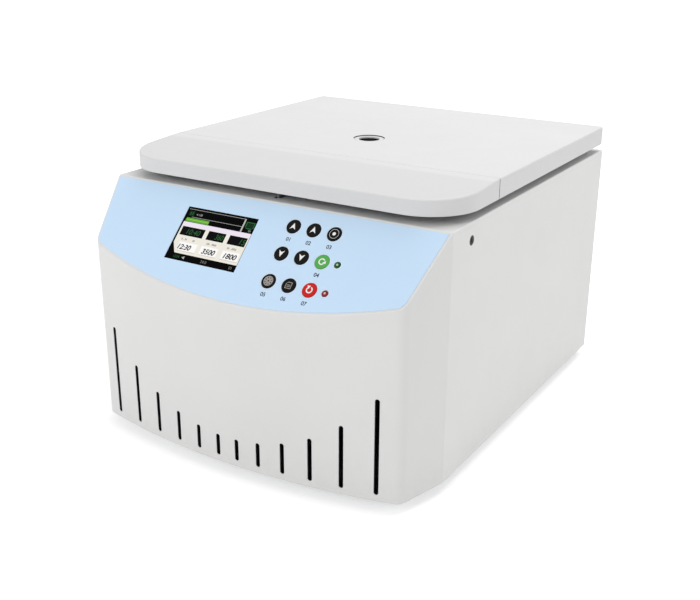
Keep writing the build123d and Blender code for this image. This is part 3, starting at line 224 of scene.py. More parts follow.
class Graph(Tree):
    """One material's node tree, which starts with one surface shader."""

    def __init__(self, name: str) -> None:
        """Starts a material.

        Args:
            name: The material's name.
        """
        self.material = bpy.data.materials.new(name)
        super().__init__(self.material)
        self.shader = self.node("ShaderNodeBsdfPrincipled")
        self.output = self.node("ShaderNodeOutputMaterial", {"Surface": self.shader.outputs[0]})

    def surface(self, **sockets: Fed) -> None:
        """Sets or joins the shader's sockets, written with underscores for spaces."""
        for name, value in sockets.items():
            self.feed(self.shader.inputs[name.replace("_", " ")], value)

    def place(
        self, scale: Triple = (1, 1, 1), centre: Triple = (0, 0, 0), turn: Triple = (0, 0, 0)
    ) -> Socket:
        """Object coordinates, moved to a centre, turned and scaled.

        Args:
            scale: The scale along each axis.
            centre: The point that becomes zero, in metres.
            turn: The turn about each axis, in degrees.

        Returns:
            The vector output.
        """
        held = self.node("ShaderNodeTexCoord").outputs["Object"]
        moved = self.node("ShaderNodeVectorMath", {0: held, 1: centre}, operation="SUBTRACT")
        mapping = self.node("ShaderNodeMapping", {"Vector": moved.outputs[0], "Scale": scale})
        mapping.inputs["Rotation"].default_value = [math.radians(angle) for angle in turn]
        return mapping.outputs[0]

    @cached_property
    def where(self) -> Socket:
        """Object coordinates as they are, made once."""
        return self.place()

    def axis(self, name: str) -> Socket:
        """One axis of the object coordinates."""
        return self.node("ShaderNodeSeparateXYZ", {0: self.where}).outputs[name]

    def length(self, vector: Socket) -> Socket:
        """How long a vector is."""
        return self.node("ShaderNodeVectorMath", {0: vector}, operation="LENGTH").outputs["Value"]

    def radius(self, centre: Triple) -> Socket:
        """The distance from an upright axis through a centre."""
        return self.length(self.place((1, 1, 0), centre))

    def noise(
        self, size: float, detail: float = 2.0, rough: float = 0.5, at: Socket | None = None
    ) -> Socket:
        """Smooth noise.

        Args:
            size: About how large its patches are, in metres.
            detail: How many finer layers it has.
            rough: How strong the finer layers are.
            at: The coordinates it is laid on, if not the object's own.

        Returns:
            Its value.
        """
        on = self.where if at is None else at
        laid = {"Vector": on, "Scale": 1 / size, "Detail": detail, "Roughness": rough}
        return self.node("ShaderNodeTexNoise", laid).outputs[0]

    def ease(
        self, value: Fed, low: float = 0.3, high: float = 0.7, start: float = 0.0, end: float = 1.0
    ) -> Socket:
        """Maps the value between two marks onto another span, with its ends held.

        Args:
            value: The value. Most of a noise lies between the usual marks.
            low: The lower mark.
            high: The upper mark.
            start: What the lower mark becomes.
            end: What the upper mark becomes.

        Returns:
            The value on the other span.
        """
        marks = {"Value": value, 1: low, 2: high, 3: start, 4: end}
        return self.node("ShaderNodeMapRange", marks, clamp=True).outputs[0]

    def below(self, value: Socket, mark: float, fade: float = 0.0001) -> Socket:
        """One below a mark, and none from a short way past it."""
        return self.ease(value, mark, mark + fade, 1, 0)

    def mix(self, share: Fed, first: Fed, second: Fed) -> Socket:
        """Blends two colours by a share."""
        return self.node("ShaderNodeMix", {0: share, 6: first, 7: second}, data_type="RGBA").outputs[2]

    def mottle(self, share: Fed, colour: Colour, tone: float) -> Socket:
        """Blends a colour with a lighter or darker tone of it."""
        return self.mix(share, colour, toned(colour, tone))

    def cover(self, share: Fed, colour: Colour) -> None:
        """Covers a share of what is the base colour so far."""
        under = self.shader.inputs["Base Color"].links[0].from_socket
        self.surface(Base_Color=self.mix(share, under, colour))

    def relief(self, height: Socket, depth: float, strength: float = 1.0) -> Socket:
        """Turns a height into a bump of a depth in metres."""
        laid = {"Strength": strength, "Distance": depth, "Height": height}
        return self.node("ShaderNodeBump", laid).outputs[0]


@dataclass(frozen=True)
class Finish(ABC):
    """A surface finish: its name and how its nodes are laid."""

    name: str

    @abstractmethod
    def lay(self, graph: Graph) -> None:
        """Lays the finish's nodes.

        Args:
            graph: The node tree of its material.
        """

    def material(self) -> bpy.types.Material:
        """The finish as a material, made once.

        Returns:
            The material, which is named after the finish.
        """
        label = f"{self.name}_finish"
        if label not in bpy.data.materials:
            self.lay(Graph(label))
        return bpy.data.materials[label]


@dataclass(frozen=True)
class PowderCoat(Finish):
    """Baked powder paint: orange peel, faint clouds and a little dust settled low down."""

    colour: Colour
    peel_size: float = 0.0013
    peel_depth: float = 0.00002
    roughness: float = 0.46
    dust: Colour = paint(196, 193, 186)
    dust_foot: float = 0.012
    dust_height: float = 0.05
    dust_share: float = 0.22
    dust_size: float = 0.012
    cloud_size: float = 0.09
    rub_size: float = 0.02

    def lay(self, graph: Graph) -> None:
        """Lays the clouds, the dust and the orange peel."""
        tone = graph.mottle(graph.ease(graph.noise(self.cloud_size, 3)), self.colour, 0.975)
        low = graph.ease(graph.axis("Z"), self.dust_foot, self.dust_height, 1, 0)
        patches = graph.ease(graph.noise(self.dust_size, 4, 0.7), 0.45, 0.8, 0, self.dust_share)
        rubbed = graph.noise(self.rub_size, 3)
        graph.surface(
            Base_Color=graph.mix(graph.sums(low, patches), tone, self.dust),
            Roughness=graph.ease(rubbed, 0.25, 0.75, self.roughness - 0.05, self.roughness + 0.06),
            Normal=graph.relief(graph.noise(self.peel_size, 2, 0.6), self.peel_depth),
            IOR=1.46,
            Coat_Weight=0.05,
            Coat_Roughness=0.3,
        )


@dataclass(frozen=True)
class CaseCoat(PowderCoat):
    """The case's paint, with painted shade, near black, on the cut edges of its slots and on its inside."""

    # painted shade: near black on the slots' cut edges and on the case's inside
    inner_shade: Colour = paint(18, 18, 19)
    arc_centre: Triple = (0.0, 0.50135, 0.0)
    arc_radius: float = 0.76135
    skin: float = 0.0006  # how far in the paint reaches
    arc_end: float = -0.2375  # where the curved front meets the slanting corners
    slot_top: float = 0.18  # above the tallest slot and below the sloped face

    def lay(self, graph: Graph) -> None:
        """Lays the paint, with painted shade behind the curved front."""
        super().lay(graph)
        inside = graph.below(graph.radius(self.arc_centre), self.arc_radius - self.skin)
        front = graph.below(graph.axis("Y"), self.arc_end)
        low = graph.below(graph.axis("Z"), self.slot_top)
        # painted shade inside the case and on the slots' cut edges
        graph.cover(graph.sums(graph.sums(inside, front), low), self.inner_shade)


@dataclass(frozen=True)
class LidCoat(PowderCoat):
    """The lid's paint, with painted shade down its sides and painted shadow in its side seams and round its
    port.
    """

    # painted shade: the sides are darker than the top
    side_shade: float = 0.92
    side_top: float = 0.309
    side_fade: float = 0.0004
    seam: float = -0.071
    seam_width: float = 0.0009
    seam_fade: float = 0.0002
    port: Triple = (0.0, 0.026, 0.0)
    port_edge: float = 0.01845
    shine: float = 0.2
    shadow: Colour = paint(44, 44, 46)

    def lay(self, graph: Graph) -> None:
        """Lays the paint, with the painted shade down the sides and the painted shadows."""
        super().lay(graph)
        side = graph.below(graph.axis("Z"), self.side_top, self.side_fade)
        off = graph.sums(graph.sums(graph.axis("Y"), self.seam, "SUBTRACT"), 0.0, "ABSOLUTE")
        seam = graph.sums(graph.below(off, self.seam_width / 2, self.seam_fade), side)
        edge = graph.below(graph.radius(self.port), self.port_edge)
        # painted shade down the sides, then painted shadow in the side seams and round the port
        graph.cover(side, toned(self.colour, self.side_shade))
        graph.cover(graph.sums(seam, edge, "MAXIMUM"), self.shadow)
        graph.surface(Specular_IOR_Level=self.shine, Coat_Weight=0.0)


@dataclass(frozen=True)
class Moulding(Finish):
    """Moulded plastic with a fine spark-eroded texture and faint handling marks."""

    colour: Colour
    roughness: float = 0.38
    grain_size: float = 0.0006
    grain_depth: float = 0.000015
    shine: float = 0.4
    flow_size: float = 0.05
    rub_size: float = 0.015

    def lay(self, graph: Graph) -> None:
        """Lays the grain and the handling marks."""
        laid = {"Vector": graph.where, "Scale": 1 / self.grain_size}
        grain = graph.node("ShaderNodeTexVoronoi", laid, feature="SMOOTH_F1").outputs[0]
        marks = graph.noise(self.rub_size, 4, 0.65, graph.place((1, 6, 1), turn=(0, 0, 31)))
        graph.surface(
            Base_Color=graph.mottle(graph.ease(graph.noise(self.flow_size)), self.colour, 0.95),
            Roughness=graph.ease(marks, 0.35, 0.75, self.roughness, self.roughness + 0.1),
            Normal=graph.relief(grain, self.grain_depth, 0.6),
            IOR=1.5,
            Specular_IOR_Level=self.shine,
        )


@dataclass(frozen=True)
class PrintedFilm(Finish):
    """Polyester film printed from behind: a soft change of tone across it under a velvet surface."""

    left: Colour
    right: Colour
    reach: float = 0.2
    velvet_size: float = 0.00035
    velvet_depth: float = 0.000008
    cloud_size: float = 0.03
    rub_size: float = 0.008

    def lay(self, graph: Graph) -> None:
        """Lays the print's change of tone and the velvet."""
        tone = graph.mix(graph.ease(graph.axis("X"), -self.reach, self.reach), self.left, self.right)
        clouds = graph.sums(graph.ease(graph.noise(self.cloud_size, 3)), 0.12)
        graph.surface(
            Base_Color=graph.mix(clouds, tone, toned(self.right, 0.93)),
            Roughness=graph.ease(graph.noise(self.rub_size, 3), start=0.36, end=0.44),
            Normal=graph.relief(graph.noise(self.velvet_size, 2, 0.6), self.velvet_depth),
            IOR=1.52,
        )


@dataclass(frozen=True)
class Ink(Finish):
    """Screen-printed ink with the uneven density of its mesh."""

    colour: Colour
    mesh: float = 0.00022
    depth: float = 0.000006

    def lay(self, graph: Graph) -> None:
        """Lays the mesh's marks."""
        weave = graph.noise(self.mesh, 2, 0.6)
        graph.surface(
            Base_Color=graph.mottle(graph.ease(weave, 0.4, 0.65), self.colour, 0.86),
            Roughness=graph.ease(weave, start=0.4, end=0.52),
            Normal=graph.relief(weave, self.depth),
        )


@dataclass(frozen=True)
class LitCell(Finish):
    """A lit field of the display, behind its glass, with the raster of its dots."""

    colour: Colour
    strength: float = 1.06
    dot: float = 0.00024
    slope: Triple = (-45, 0, 0)  # turns the raster onto the control face, in degrees
    unlit: Colour = (0.002, 0.002, 0.003, 1)
    lifted: Colour = (0.006, 0.006, 0.006, 1)
    glow_size: float = 0.03
    rub_size: float = 0.01

    def lay(self, graph: Graph) -> None:
        """Lays the raster and its glow."""
        face = graph.place(turn=self.slope)
        dots = {
            "Vector": face,
            "Scale": 1 / self.dot,
            "Color1": self.colour,
            "Color2": toned(self.colour, 0.93),
        }
        raster = graph.node("ShaderNodeTexChecker", dots).outputs[0]
        glow = graph.ease(graph.noise(self.glow_size, at=face), end=0.12)
        graph.surface(
            Base_Color=graph.mix(glow, self.unlit, self.lifted),
            Roughness=graph.ease(graph.noise(self.rub_size, 3, at=face), start=0.06, end=0.14),
            Emission_Color=graph.mix(glow, raster, toned(self.colour, 0.85)),
            Emission_Strength=self.strength,
            Specular_IOR_Level=0.03,
        )


@dataclass(frozen=True)
class DarkGlass(Finish):
    """Smoked glass or acrylic, with the faint smears of fingertips."""

    colour: Colour
    clear: float = 0.0
    roughness: float = 0.06
    sheen: float = 0.1
    smear_size: float = 0.011

    def lay(self, graph: Graph) -> None:
        """Lays the glass and its smears."""
        wiped = graph.place((1, 2.2, 1), turn=(0, 0, 24))
        smears = graph.ease(graph.noise(self.smear_size, 4, 0.6, wiped), 0.5, 0.8)
        graph.surface(
            Base_Color=graph.mottle(smears, self.colour, 1.4),
            Roughness=graph.ease(smears, 0, 1, self.roughness, self.roughness + 0.12),
            IOR=1.45,
            Transmission_Weight=self.clear,
            Specular_IOR_Level=self.sheen,
        )


@dataclass(frozen=True)
class Lens(Finish):
    """A moulded lamp lens: coloured plastic that glows a little, with ribs inside."""

    colour: Colour
    glow: float
    rib: float = 0.0012

    def lay(self, graph: Graph) -> None:
        """Lays the ribs and the glow."""
        ribs = graph.noise(self.rib)
        tint = graph.mottle(graph.ease(ribs, 0.4, 0.65), self.colour, 0.5)
        graph.surface(
            Base_Color=tint,
            Emission_Color=tint,
            Emission_Strength=self.glow,
            Roughness=graph.ease(ribs, start=0.12, end=0.2),
            Specular_IOR_Level=0.2,
        )


class Grain(Enum):
    """How a metal surface was worked."""

    BRUSHED_X = "brushed across"
    BRUSHED_Y = "brushed along"
    TURNED = "turned about the rotor's axis"
    CAST = "cast"
    PLATED = "zinc plated"
    POLISHED = "polished"


@dataclass(frozen=True)
class Metal(Finish):
    """Bare metal, with the marks of how it was worked."""

    colour: Colour
    grain: Grain
    roughness: float = 0.28
    line: float = 0.0004
    centre: Triple = (0.0, 0.026, 0.0)  # the rotor's axis
    stretch: float = 0.02  # along the brushing
    spangles: float = 160.0  # of the zinc, in a metre
    cast_size: float = 0.0018
    wipe_size: float = 0.004
    cloud_size: float = 0.04

    def marks(self, graph: Graph) -> Socket:
        """Lays the marks.

        Args:
            graph: The node tree of the material.

        Returns:
            Their height.
        """
        if self.grain is Grain.CAST:
            return graph.noise(self.cast_size, 4, 0.7)
        if self.grain is Grain.POLISHED:
            return graph.noise(self.wipe_size)
        if self.grain is Grain.PLATED:
            laid = {"Vector": graph.where, "Scale": self.spangles}
            return graph.node("ShaderNodeTexVoronoi", laid).outputs["Color"]
        if self.grain is Grain.TURNED:
            rings = {0: graph.radius(self.centre), 1: graph.axis("Z")}
            along = graph.node("ShaderNodeCombineXYZ", rings).outputs[0]
        else:
            across = self.grain is Grain.BRUSHED_X
            along = graph.place((self.stretch, 1, 1) if across else (1, self.stretch, 1))
        return graph.noise(self.line, 3, 0.7, along)

    def lay(self, graph: Graph) -> None:
        """Lays the metal under its marks."""
        depths = {Grain.CAST: 0.00012, Grain.PLATED: 0.000004, Grain.POLISHED: 0.000004}
        marks = self.marks(graph)
        worked = graph.ease(marks)
        clouds = graph.sums(graph.ease(graph.noise(self.cloud_size, 3)), 0.35)
        tone = graph.mix(worked, toned(self.colour, 0.86), self.colour)
        graph.surface(
            Base_Color=graph.mix(clouds, tone, toned(self.colour, 0.9)),
            Metallic=1.0,
            Roughness=graph.ease(worked, 0, 1, self.roughness + 0.1, self.roughness),
            Normal=graph.relief(marks, depths.get(self.grain, 0.000012), 0.7),
        )


@dataclass(frozen=True)
class Rubber(Finish):
    """Moulded rubber: matt, slightly grained, with pale bloom."""

    colour: Colour
    bloom: Colour = paint(92, 92, 90)
    grain_size: float = 0.0008
    grain_depth: float = 0.00005
    bloom_size: float = 0.012
    rub_size: float = 0.005

    def lay(self, graph: Graph) -> None:
        """Lays the bloom and the grain."""
        patches = graph.ease(graph.noise(self.bloom_size, 4, 0.65), 0.5, 0.85, 0, 0.35)
        graph.surface(
            Base_Color=graph.mix(patches, self.colour, self.bloom),
            Roughness=graph.ease(graph.noise(self.rub_size, 3), start=0.68, end=0.84),
            Normal=graph.relief(graph.noise(self.grain_size, 3, 0.7), self.grain_depth),
            Specular_IOR_Level=0.35,
        )


@dataclass(frozen=True)
class SlideGlass(Finish):
    """Soda-lime slide glass with its greenish tint and a ground writing end at the top."""

    frost_start: float = 0.243
    frost_fade: float = 0.0004
    ragged: float = 0.0006
    ragged_size: float = 0.003
    grit_size: float = 0.0003
    grit_depth: float = 0.00003
    tint: Colour = paint(226, 241, 236)
    frost: Colour = paint(240, 242, 242)

    def lay(self, graph: Graph) -> None:
        """Lays the glass and its ground end."""
        uneven = graph.sums(graph.noise(self.ragged_size), self.ragged)
        height = graph.sums(graph.axis("Z"), uneven, "ADD")
        ground = graph.ease(height, self.frost_start, self.frost_start + self.frost_fade)
        graph.surface(
            Base_Color=graph.mix(ground, self.tint, self.frost),
            Roughness=graph.ease(ground, 0, 1, 0.04, 0.62),
            Transmission_Weight=0.85,
            IOR=1.51,
            Normal=graph.relief(graph.sums(ground, graph.noise(self.grit_size)), self.grit_depth),
        )


@dataclass(frozen=True)
class FilterPaper(Finish):
    """Blotting card: long pale fibres and a soft tooth."""

    colour: Colour
    fibre: float = 0.0009
    tooth: float = 0.0001

    def lay(self, graph: Graph) -> None:
        """Lays the fibres."""
        fibres = graph.noise(self.fibre, 5, 0.75, graph.place((1, 1, 0.25), turn=(18, 12, 0)))
        graph.surface(
            Base_Color=graph.mottle(graph.ease(fibres, 0.35, 0.7), self.colour, 0.84),
            Roughness=graph.ease(fibres, start=0.85, end=0.97),
            Normal=graph.relief(fibres, self.tooth),
        )


@dataclass(frozen=True)
class CircuitBoard(Finish):
    """Solder mask over copper tracks, with tinned pads."""

    mask: Colour = paint(22, 84, 48)
    track: Colour = paint(46, 122, 66)
    pad: Colour = paint(205, 206, 208)
    tracks: float = 90.0  # in a metre
    pads: float = 210.0  # in a metre
    track_width: float = 0.045  # in tiles of the pattern
    track_depth: float = 0.00003

    def lay(self, graph: Graph) -> None:
        """Lays the tracks and the pads."""
        lines = {
            "Vector": graph.where,
            "Scale": self.tracks,
            "Mortar Size": self.track_width,
            "Color1": self.mask,
            "Color2": toned(self.mask, 0.9),
            "Mortar": self.track,
        }
        routed = graph.node("ShaderNodeTexBrick", lines).outputs
        dots = {"Vector": graph.where, "Scale": self.pads, "Randomness": 0.35}
        tinned = graph.ease(graph.node("ShaderNodeTexVoronoi", dots).outputs[0], 0.16, 0.2, 1, 0)
        graph.surface(
            Base_Color=graph.mix(tinned, routed["Color"], self.pad),
            Metallic=tinned,
            Roughness=graph.ease(tinned, 0, 1, 0.34, 0.24),
            Normal=graph.relief(routed["Fac"], self.track_depth),
        )


@dataclass(frozen=True)
class MilkyPlastic(Finish):
    """Natural polypropylene that lets a little light through."""

    colour: Colour
    flow_size: float = 0.006
    flow_depth: float = 0.00002
    rub_size: float = 0.004

    def lay(self, graph: Graph) -> None:
        """Lays the plastic's flow."""
        flow = graph.noise(self.flow_size, 3, at=graph.place((1, 1, 0.3)))
        graph.surface(
            Base_Color=graph.mottle(graph.ease(flow), self.colour, 0.92),
            Roughness=graph.ease(graph.noise(self.rub_size), start=0.26, end=0.38),
            Normal=graph.relief(flow, self.flow_depth, 0.5),
            Transmission_Weight=0.18,
            Subsurface_Weight=0.25,
            Subsurface_Scale=0.004,
            IOR=1.49,
        )


@dataclass(frozen=True)
class StudioFloor(Finish):
    """Pale seamless paper that shows white to the camera and keeps the object's shadow."""

    colour: Colour
    lift: float
    far_lift: float
    near: float = 0.8
    far: float = 3.0

    def lay(self, graph: Graph) -> None:
        """Lays the paper, with more lift where the lamps don't reach."""
        graph.surface(Base_Color=self.colour, Roughness=0.9, Specular_IOR_Level=0.0)
        lifted = graph.ease(graph.length(graph.where), self.near, self.far, self.lift, self.far_lift)
        shown = {"Color": WHITE, "Strength": graph.sums(graph.seen(), lifted)}
        glow = graph.node("ShaderNodeEmission", shown)
        both = graph.node("ShaderNodeAddShader", {0: graph.shader.outputs[0], 1: glow.outputs[0]})
        graph.feed(graph.output.inputs["Surface"], both.outputs[0])


class Palette:
    """Every finish of the machine."""

    case = CaseCoat("case_powder_coat", paint(226, 226, 225))
    lid = LidCoat("lid_powder_coat", paint(227, 227, 227), roughness=0.44)
    rear = PowderCoat("rear_powder_coat", paint(222, 222, 222), peel_size=0.0016)
    # grey paint, darkened as painted shade so that it stays dark in the gap under the lid
    striker = PowderCoat("striker_paint", paint(112, 113, 115), 0.0009)
    coil = PowderCoat("solenoid_paint", paint(66, 70, 76), 0.0011)
    film = PrintedFilm("blue_film", paint(199, 225, 249), paint(200, 226, 250))
    # paler than the film: a painted highlight on the embossed borders
    emboss_highlight = Moulding("film_emboss_highlight", paint(228, 240, 252), 0.3)
    label = Ink("grey_label_ink", paint(44, 54, 70))
    white_ink = Ink("white_icon_ink", paint(244, 244, 242))
    grey_ink = Ink("grey_icon_ink", paint(158, 152, 146))
    dark_ink = Ink("dark_icon_ink", paint(24, 24, 26))
    black_key = Moulding("black_key", paint(10, 11, 12), 0.4, shine=0.09)
    green_key = Moulding("green_key", paint(88, 172, 84), 0.4, shine=0.12)
    red_key = Moulding("red_key", paint(204, 38, 38), 0.4, shine=0.08)
    green_lens = Lens("green_lens", paint(14, 88, 36), 0.04)
    red_lens = Lens("red_lens", paint(146, 40, 44), 0.04)
    # painted highlights: pale discs that glow, laid on the lamps' crowns
    green_lens_highlight = Lens("green_lens_highlight", paint(176, 222, 178), 0.12)
    red_lens_highlight = Lens("red_lens_highlight", paint(232, 188, 184), 0.12)
    glass = DarkGlass("display_glass", paint(3, 3, 4), sheen=0.03)
    # smoked glass, made near black as painted shade of the dark chamber behind it
    port = DarkGlass("sight_port_glass", paint(7, 7, 8), clear=0.05, sheen=0.0)
    frosted_module = Moulding("display_module_grey", paint(150, 152, 154), 0.5)
    board = CircuitBoard("circuit_board")
    bezel = Moulding("port_bezel", paint(228, 228, 229), 0.3)
    # grey plastic, darkened as painted shade for the gap under the lid
    liner = Moulding("lid_liner", paint(150, 152, 155), 0.5, 0.0012, 0.00003)
    black_plastic = Moulding("black_plastic", paint(24, 24, 26), 0.46, 0.0008, 0.00003, 0.3)
    grey_plastic = Moulding("grey_plastic", paint(74, 76, 80), 0.5, 0.0008, 0.00003)
    knob = Moulding("knob_plastic", paint(30, 30, 33), 0.34, 0.0009, 0.00002)
    funnel_cap = Moulding("funnel_cap_white", paint(232, 234, 236), 0.34)
    funnel = MilkyPlastic("funnel_polypropylene", paint(238, 240, 242))
    card = FilterPaper("filter_card", paint(240, 238, 230))
    slide = SlideGlass("slide_glass")
    bowl = Metal("spun_bowl_steel", paint(196, 197, 199), Grain.TURNED, 0.26, 0.0006)
    stainless = Metal("brushed_stainless", paint(204, 204, 206), Grain.BRUSHED_X, 0.3)
    rotor = Metal("anodised_rotor", paint(206, 208, 212), Grain.TURNED, 0.34, 0.0005)
    spindle = Metal("turned_spindle", paint(188, 189, 192), Grain.TURNED, 0.2, 0.0003)
    clip = Metal("clip_spring_steel", paint(208, 208, 209), Grain.BRUSHED_Y, 0.26)
    motor = Metal("cast_motor_alloy", paint(176, 178, 181), Grain.CAST, 0.46)
    zinc = Metal("zinc_plate", paint(186, 188, 190), Grain.PLATED, 0.36)
    ground = Metal("ground_bolt_steel", paint(196, 197, 200), Grain.BRUSHED_X, 0.22, 0.0002)
    hinge = Metal("hinge_steel", paint(170, 171, 174), Grain.BRUSHED_Y, 0.34)
    bright = Metal("bright_wire", paint(212, 213, 215), Grain.POLISHED, 0.14)
    gasket = Rubber("gasket_rubber", paint(40, 40, 41))
    foot = Rubber("foot_rubber", paint(30, 30, 31))
    damper = Rubber("damper_rubber", paint(26, 26, 27))
    lit_cream = LitCell("lit_cream", paint(236, 232, 222))
    lit_band = LitCell("lit_band", paint(236, 226, 240))
    lit_white = LitCell("lit_white", paint(250, 249, 247))
    lit_green = LitCell("lit_green", paint(96, 166, 62))
    lit_leaf = LitCell("lit_leaf_green", paint(42, 100, 50))
    lit_fern = LitCell("lit_fern_green", paint(44, 98, 52))
    lit_lime = LitCell("lit_lime_green", paint(140, 204, 66))
    lit_moss = LitCell("lit_moss_green", paint(14, 46, 24))
    lit_line = LitCell("lit_line", paint(178, 182, 176))
    lit_grey = LitCell("lit_caption_grey", paint(132, 128, 122))
    dead_cell = LitCell("dark_cell", paint(8, 8, 8), 0.2)
    digit_cell = LitCell("dark_digit_cell", paint(20, 22, 26), 0.6)
    paper = StudioFloor("studio_paper", paint(238, 238, 238), 0.42, 0.62)


# ---------------------------------------------------------------- shapes


@dataclass
class Former:
    """Builds one mesh piece from several shapes and hands it over, riding on its body."""

    name: str
    finish: Finish
    body: str
    slot: str  # the record's material slot that it stands for; not read
    crease: float = 32.0  # the angle past which an edge stays sharp, in degrees
    mesh: bmesh.types.BMesh = field(default_factory=bmesh.new)

    @contextmanager
    def at(self, place: Matrix) -> Iterator[None]:
        """Puts what is drawn inside the block in its place, with its faces turned outwards.

        Args:
            place: The place. Inside another such block it is a place on that drawing.

        Yields:
            Nothing, once, while the block draws.
        """
        count = len(self.mesh.verts)
        yield
        self.mesh.verts.ensure_lookup_table()
        fresh = self.mesh.verts[count:]
        bmesh.ops.transform(self.mesh, matrix=place, verts=fresh)
        bmesh.ops.recalc_face_normals(self.mesh, faces=self.touching(fresh))

    @staticmethod
    def touching(verts: Sequence[bmesh.types.BMVert]) -> list[bmesh.types.BMFace]:
        """The faces that touch some vertices."""
        return list({face for vert in verts for face in vert.link_faces})

    def thicken(self, faces: list[bmesh.types.BMFace], height: float) -> None:
        """Raises flat faces to a height.

        Args:
            faces: The faces.
            height: How far they rise.
        """
        grown = bmesh.ops.extrude_face_region(self.mesh, geom=faces)
        raised = [part for part in grown["geom"] if isinstance(part, bmesh.types.BMVert)]
        bmesh.ops.translate(self.mesh, vec=(0, 0, height), verts=raised)

    def plate(self, outline: Sequence[Point], height: float) -> None:
        """Draws a flat plate inside an outline."""
        corners = [self.mesh.verts.new((x, y, 0)) for x, y in outline]
        self.thicken([self.mesh.faces.new(corners)], height)

    def panel(self, left: float, low: float, right: float, high: float, height: float) -> None:
        """Draws a rectangular plate between two corners."""
        self.plate([(left, low), (right, low), (right, high), (left, high)], height)

    def disc(self, radius: float, height: float, segments: int = 40) -> None:
        """Draws a round plate about the drawing's zero."""
        drawn = bmesh.ops.create_circle(self.mesh, cap_ends=True, radius=radius, segments=segments)
        self.thicken(self.touching(drawn["verts"]), height)

    def ring(self, profile: Sequence[Point], start: float = 0, sweep: float = 360, steps: int = 48) -> None:
        """Turns a profile about the drawing's Z.

        Args:
            profile: Radius and height of each corner, in order.
            start: Where the sweep starts, in degrees from X.
            sweep: How far it goes, in degrees.
            steps: How many steps it takes.
        """
        corners = [self.mesh.verts.new((radius, 0, height)) for radius, height in profile]
        bmesh.ops.transform(self.mesh, matrix=turned(start), verts=corners)
        whole = sweep >= 360
        if whole:
            pairs = zip(corners[-1:] + corners[:-1], corners)
            swept = corners + [self.mesh.edges.new(pair) for pair in pairs]
        else:
            swept = [self.mesh.faces.new(corners)]
        about = {"cent": (0, 0, 0), "axis": (0, 0, 1), "angle": math.radians(sweep)}
        bmesh.ops.spin(self.mesh, geom=swept, steps=steps, use_merge=whole, **about)

    def band(self, inner: float, outer: float, height: float, **sweep: float) -> None:
        """Draws a flat ring, or the sweep of it that the last values give."""
        self.ring(((inner, 0), (outer, 0), (outer, height), (inner, height)), **sweep)

    def screw(self, radius: float, height: float, segments: int = 28) -> None:
        """Draws a pan head with a cross recess, its seat on the drawing's plane.

        Args:
            radius: The head's radius.
            height: The head's height.
            segments: How many sides it has.
        """
        rim = ((radius, 0), (radius, 0.35 * height), (0.8 * radius, 0.85 * height), (0.5 * radius, height))
        mouth = 0.42 * radius
        self.ring(rim + ((mouth, height), (mouth, 0)), steps=segments)
        slot = 0.1 * radius
        reach = 0.43 * radius
        corner = 0.72 * reach
        floor = 0.45 * height
        foot = 0.9 * floor
        self.disc(reach, floor, segments)
        for quarter in range(4):
            with self.at(turned(90 * quarter) @ Matrix.Translation((0, 0, foot))):
                self.plate(((slot, slot), (reach, slot), (corner, corner), (slot, reach)), height - foot)

    def text(
        self,
        words: str,
        cap: float,
        height: float,
        slant: float = 0.0,
        width: float = 0.0,
        weight: float = 0.0,
    ) -> None:
        """Draws numbers, centred on the drawing's zero.

        Args:
            words: What is written.
            cap: The height of its figures.
            height: Its thickness.
            slant: The lean of its figures.
            width: The width it is fitted to, or zero for its own.
            weight: How much its strokes are thickened, as a share of its height.
        """
        curve = bpy.data.curves.new("lettering", "FONT")
        curve.body = words
        curve.size = cap
        curve.shear = slant
        curve.extrude = height / 2
        curve.offset = weight * cap
        carrier = stand("lettering", curve)
        filled = carrier.evaluated_get(bpy.context.evaluated_depsgraph_get())
        drawn = bpy.data.meshes.new_from_object(filled)
        bpy.data.objects.remove(carrier)
        bpy.data.curves.remove(curve)
        xs = [vert.co.x for vert in drawn.vertices]
        ys = [vert.co.y for vert in drawn.vertices]
        rise = cap / (max(ys) - min(ys))
        spread = width / (max(xs) - min(xs)) if width else rise
        centre = Vector(((max(xs) + min(xs)) / 2, (max(ys) + min(ys)) / 2, -height / 2))
        drawn.transform(Matrix.Diagonal((spread, rise, 1, 1)) @ Matrix.Translation(-centre))
        self.mesh.from_mesh(drawn)
        bpy.data.meshes.remove(drawn)

    def done(self) -> bpy.types.Object:
        """Hands the piece over.

        Returns:
            The piece's object, at the origin, riding on its body.
        """
        data = bpy.data.meshes.new(self.name)
        self.mesh.to_mesh(data)
        self.mesh.free()
        data.shade_smooth()
        data.set_sharp_from_angle(angle=math.radians(self.crease))
        data.materials.append(self.finish.material())
        piece = stand(self.name, data)
        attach(piece, self.body)
        log.info("%s: %d faces on %s", self.name, len(data.polygons), self.body)
        return piece


# ---------------------------------------------------------------- the machine's sub-assemblies


@dataclass
class Assembly(ABC):
    """A sub-assembly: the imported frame, and how its pieces are made and dressed."""

    frame: dict

    @abstractmethod
    def build(self) -> None:
        """Makes and dresses the sub-assembly's pieces."""

    def dress(self, finish: Finish, *nodes: str) -> None:
        """Gives CAD nodes a finish.

        Args:
            finish: The finish.
            *nodes: The nodes that take it.
        """
        for node in nodes:
            for held in self.frame["nodes"][node].material_slots:
                held.material = finish.material()
            log.info("%s: %s", node, finish.name)


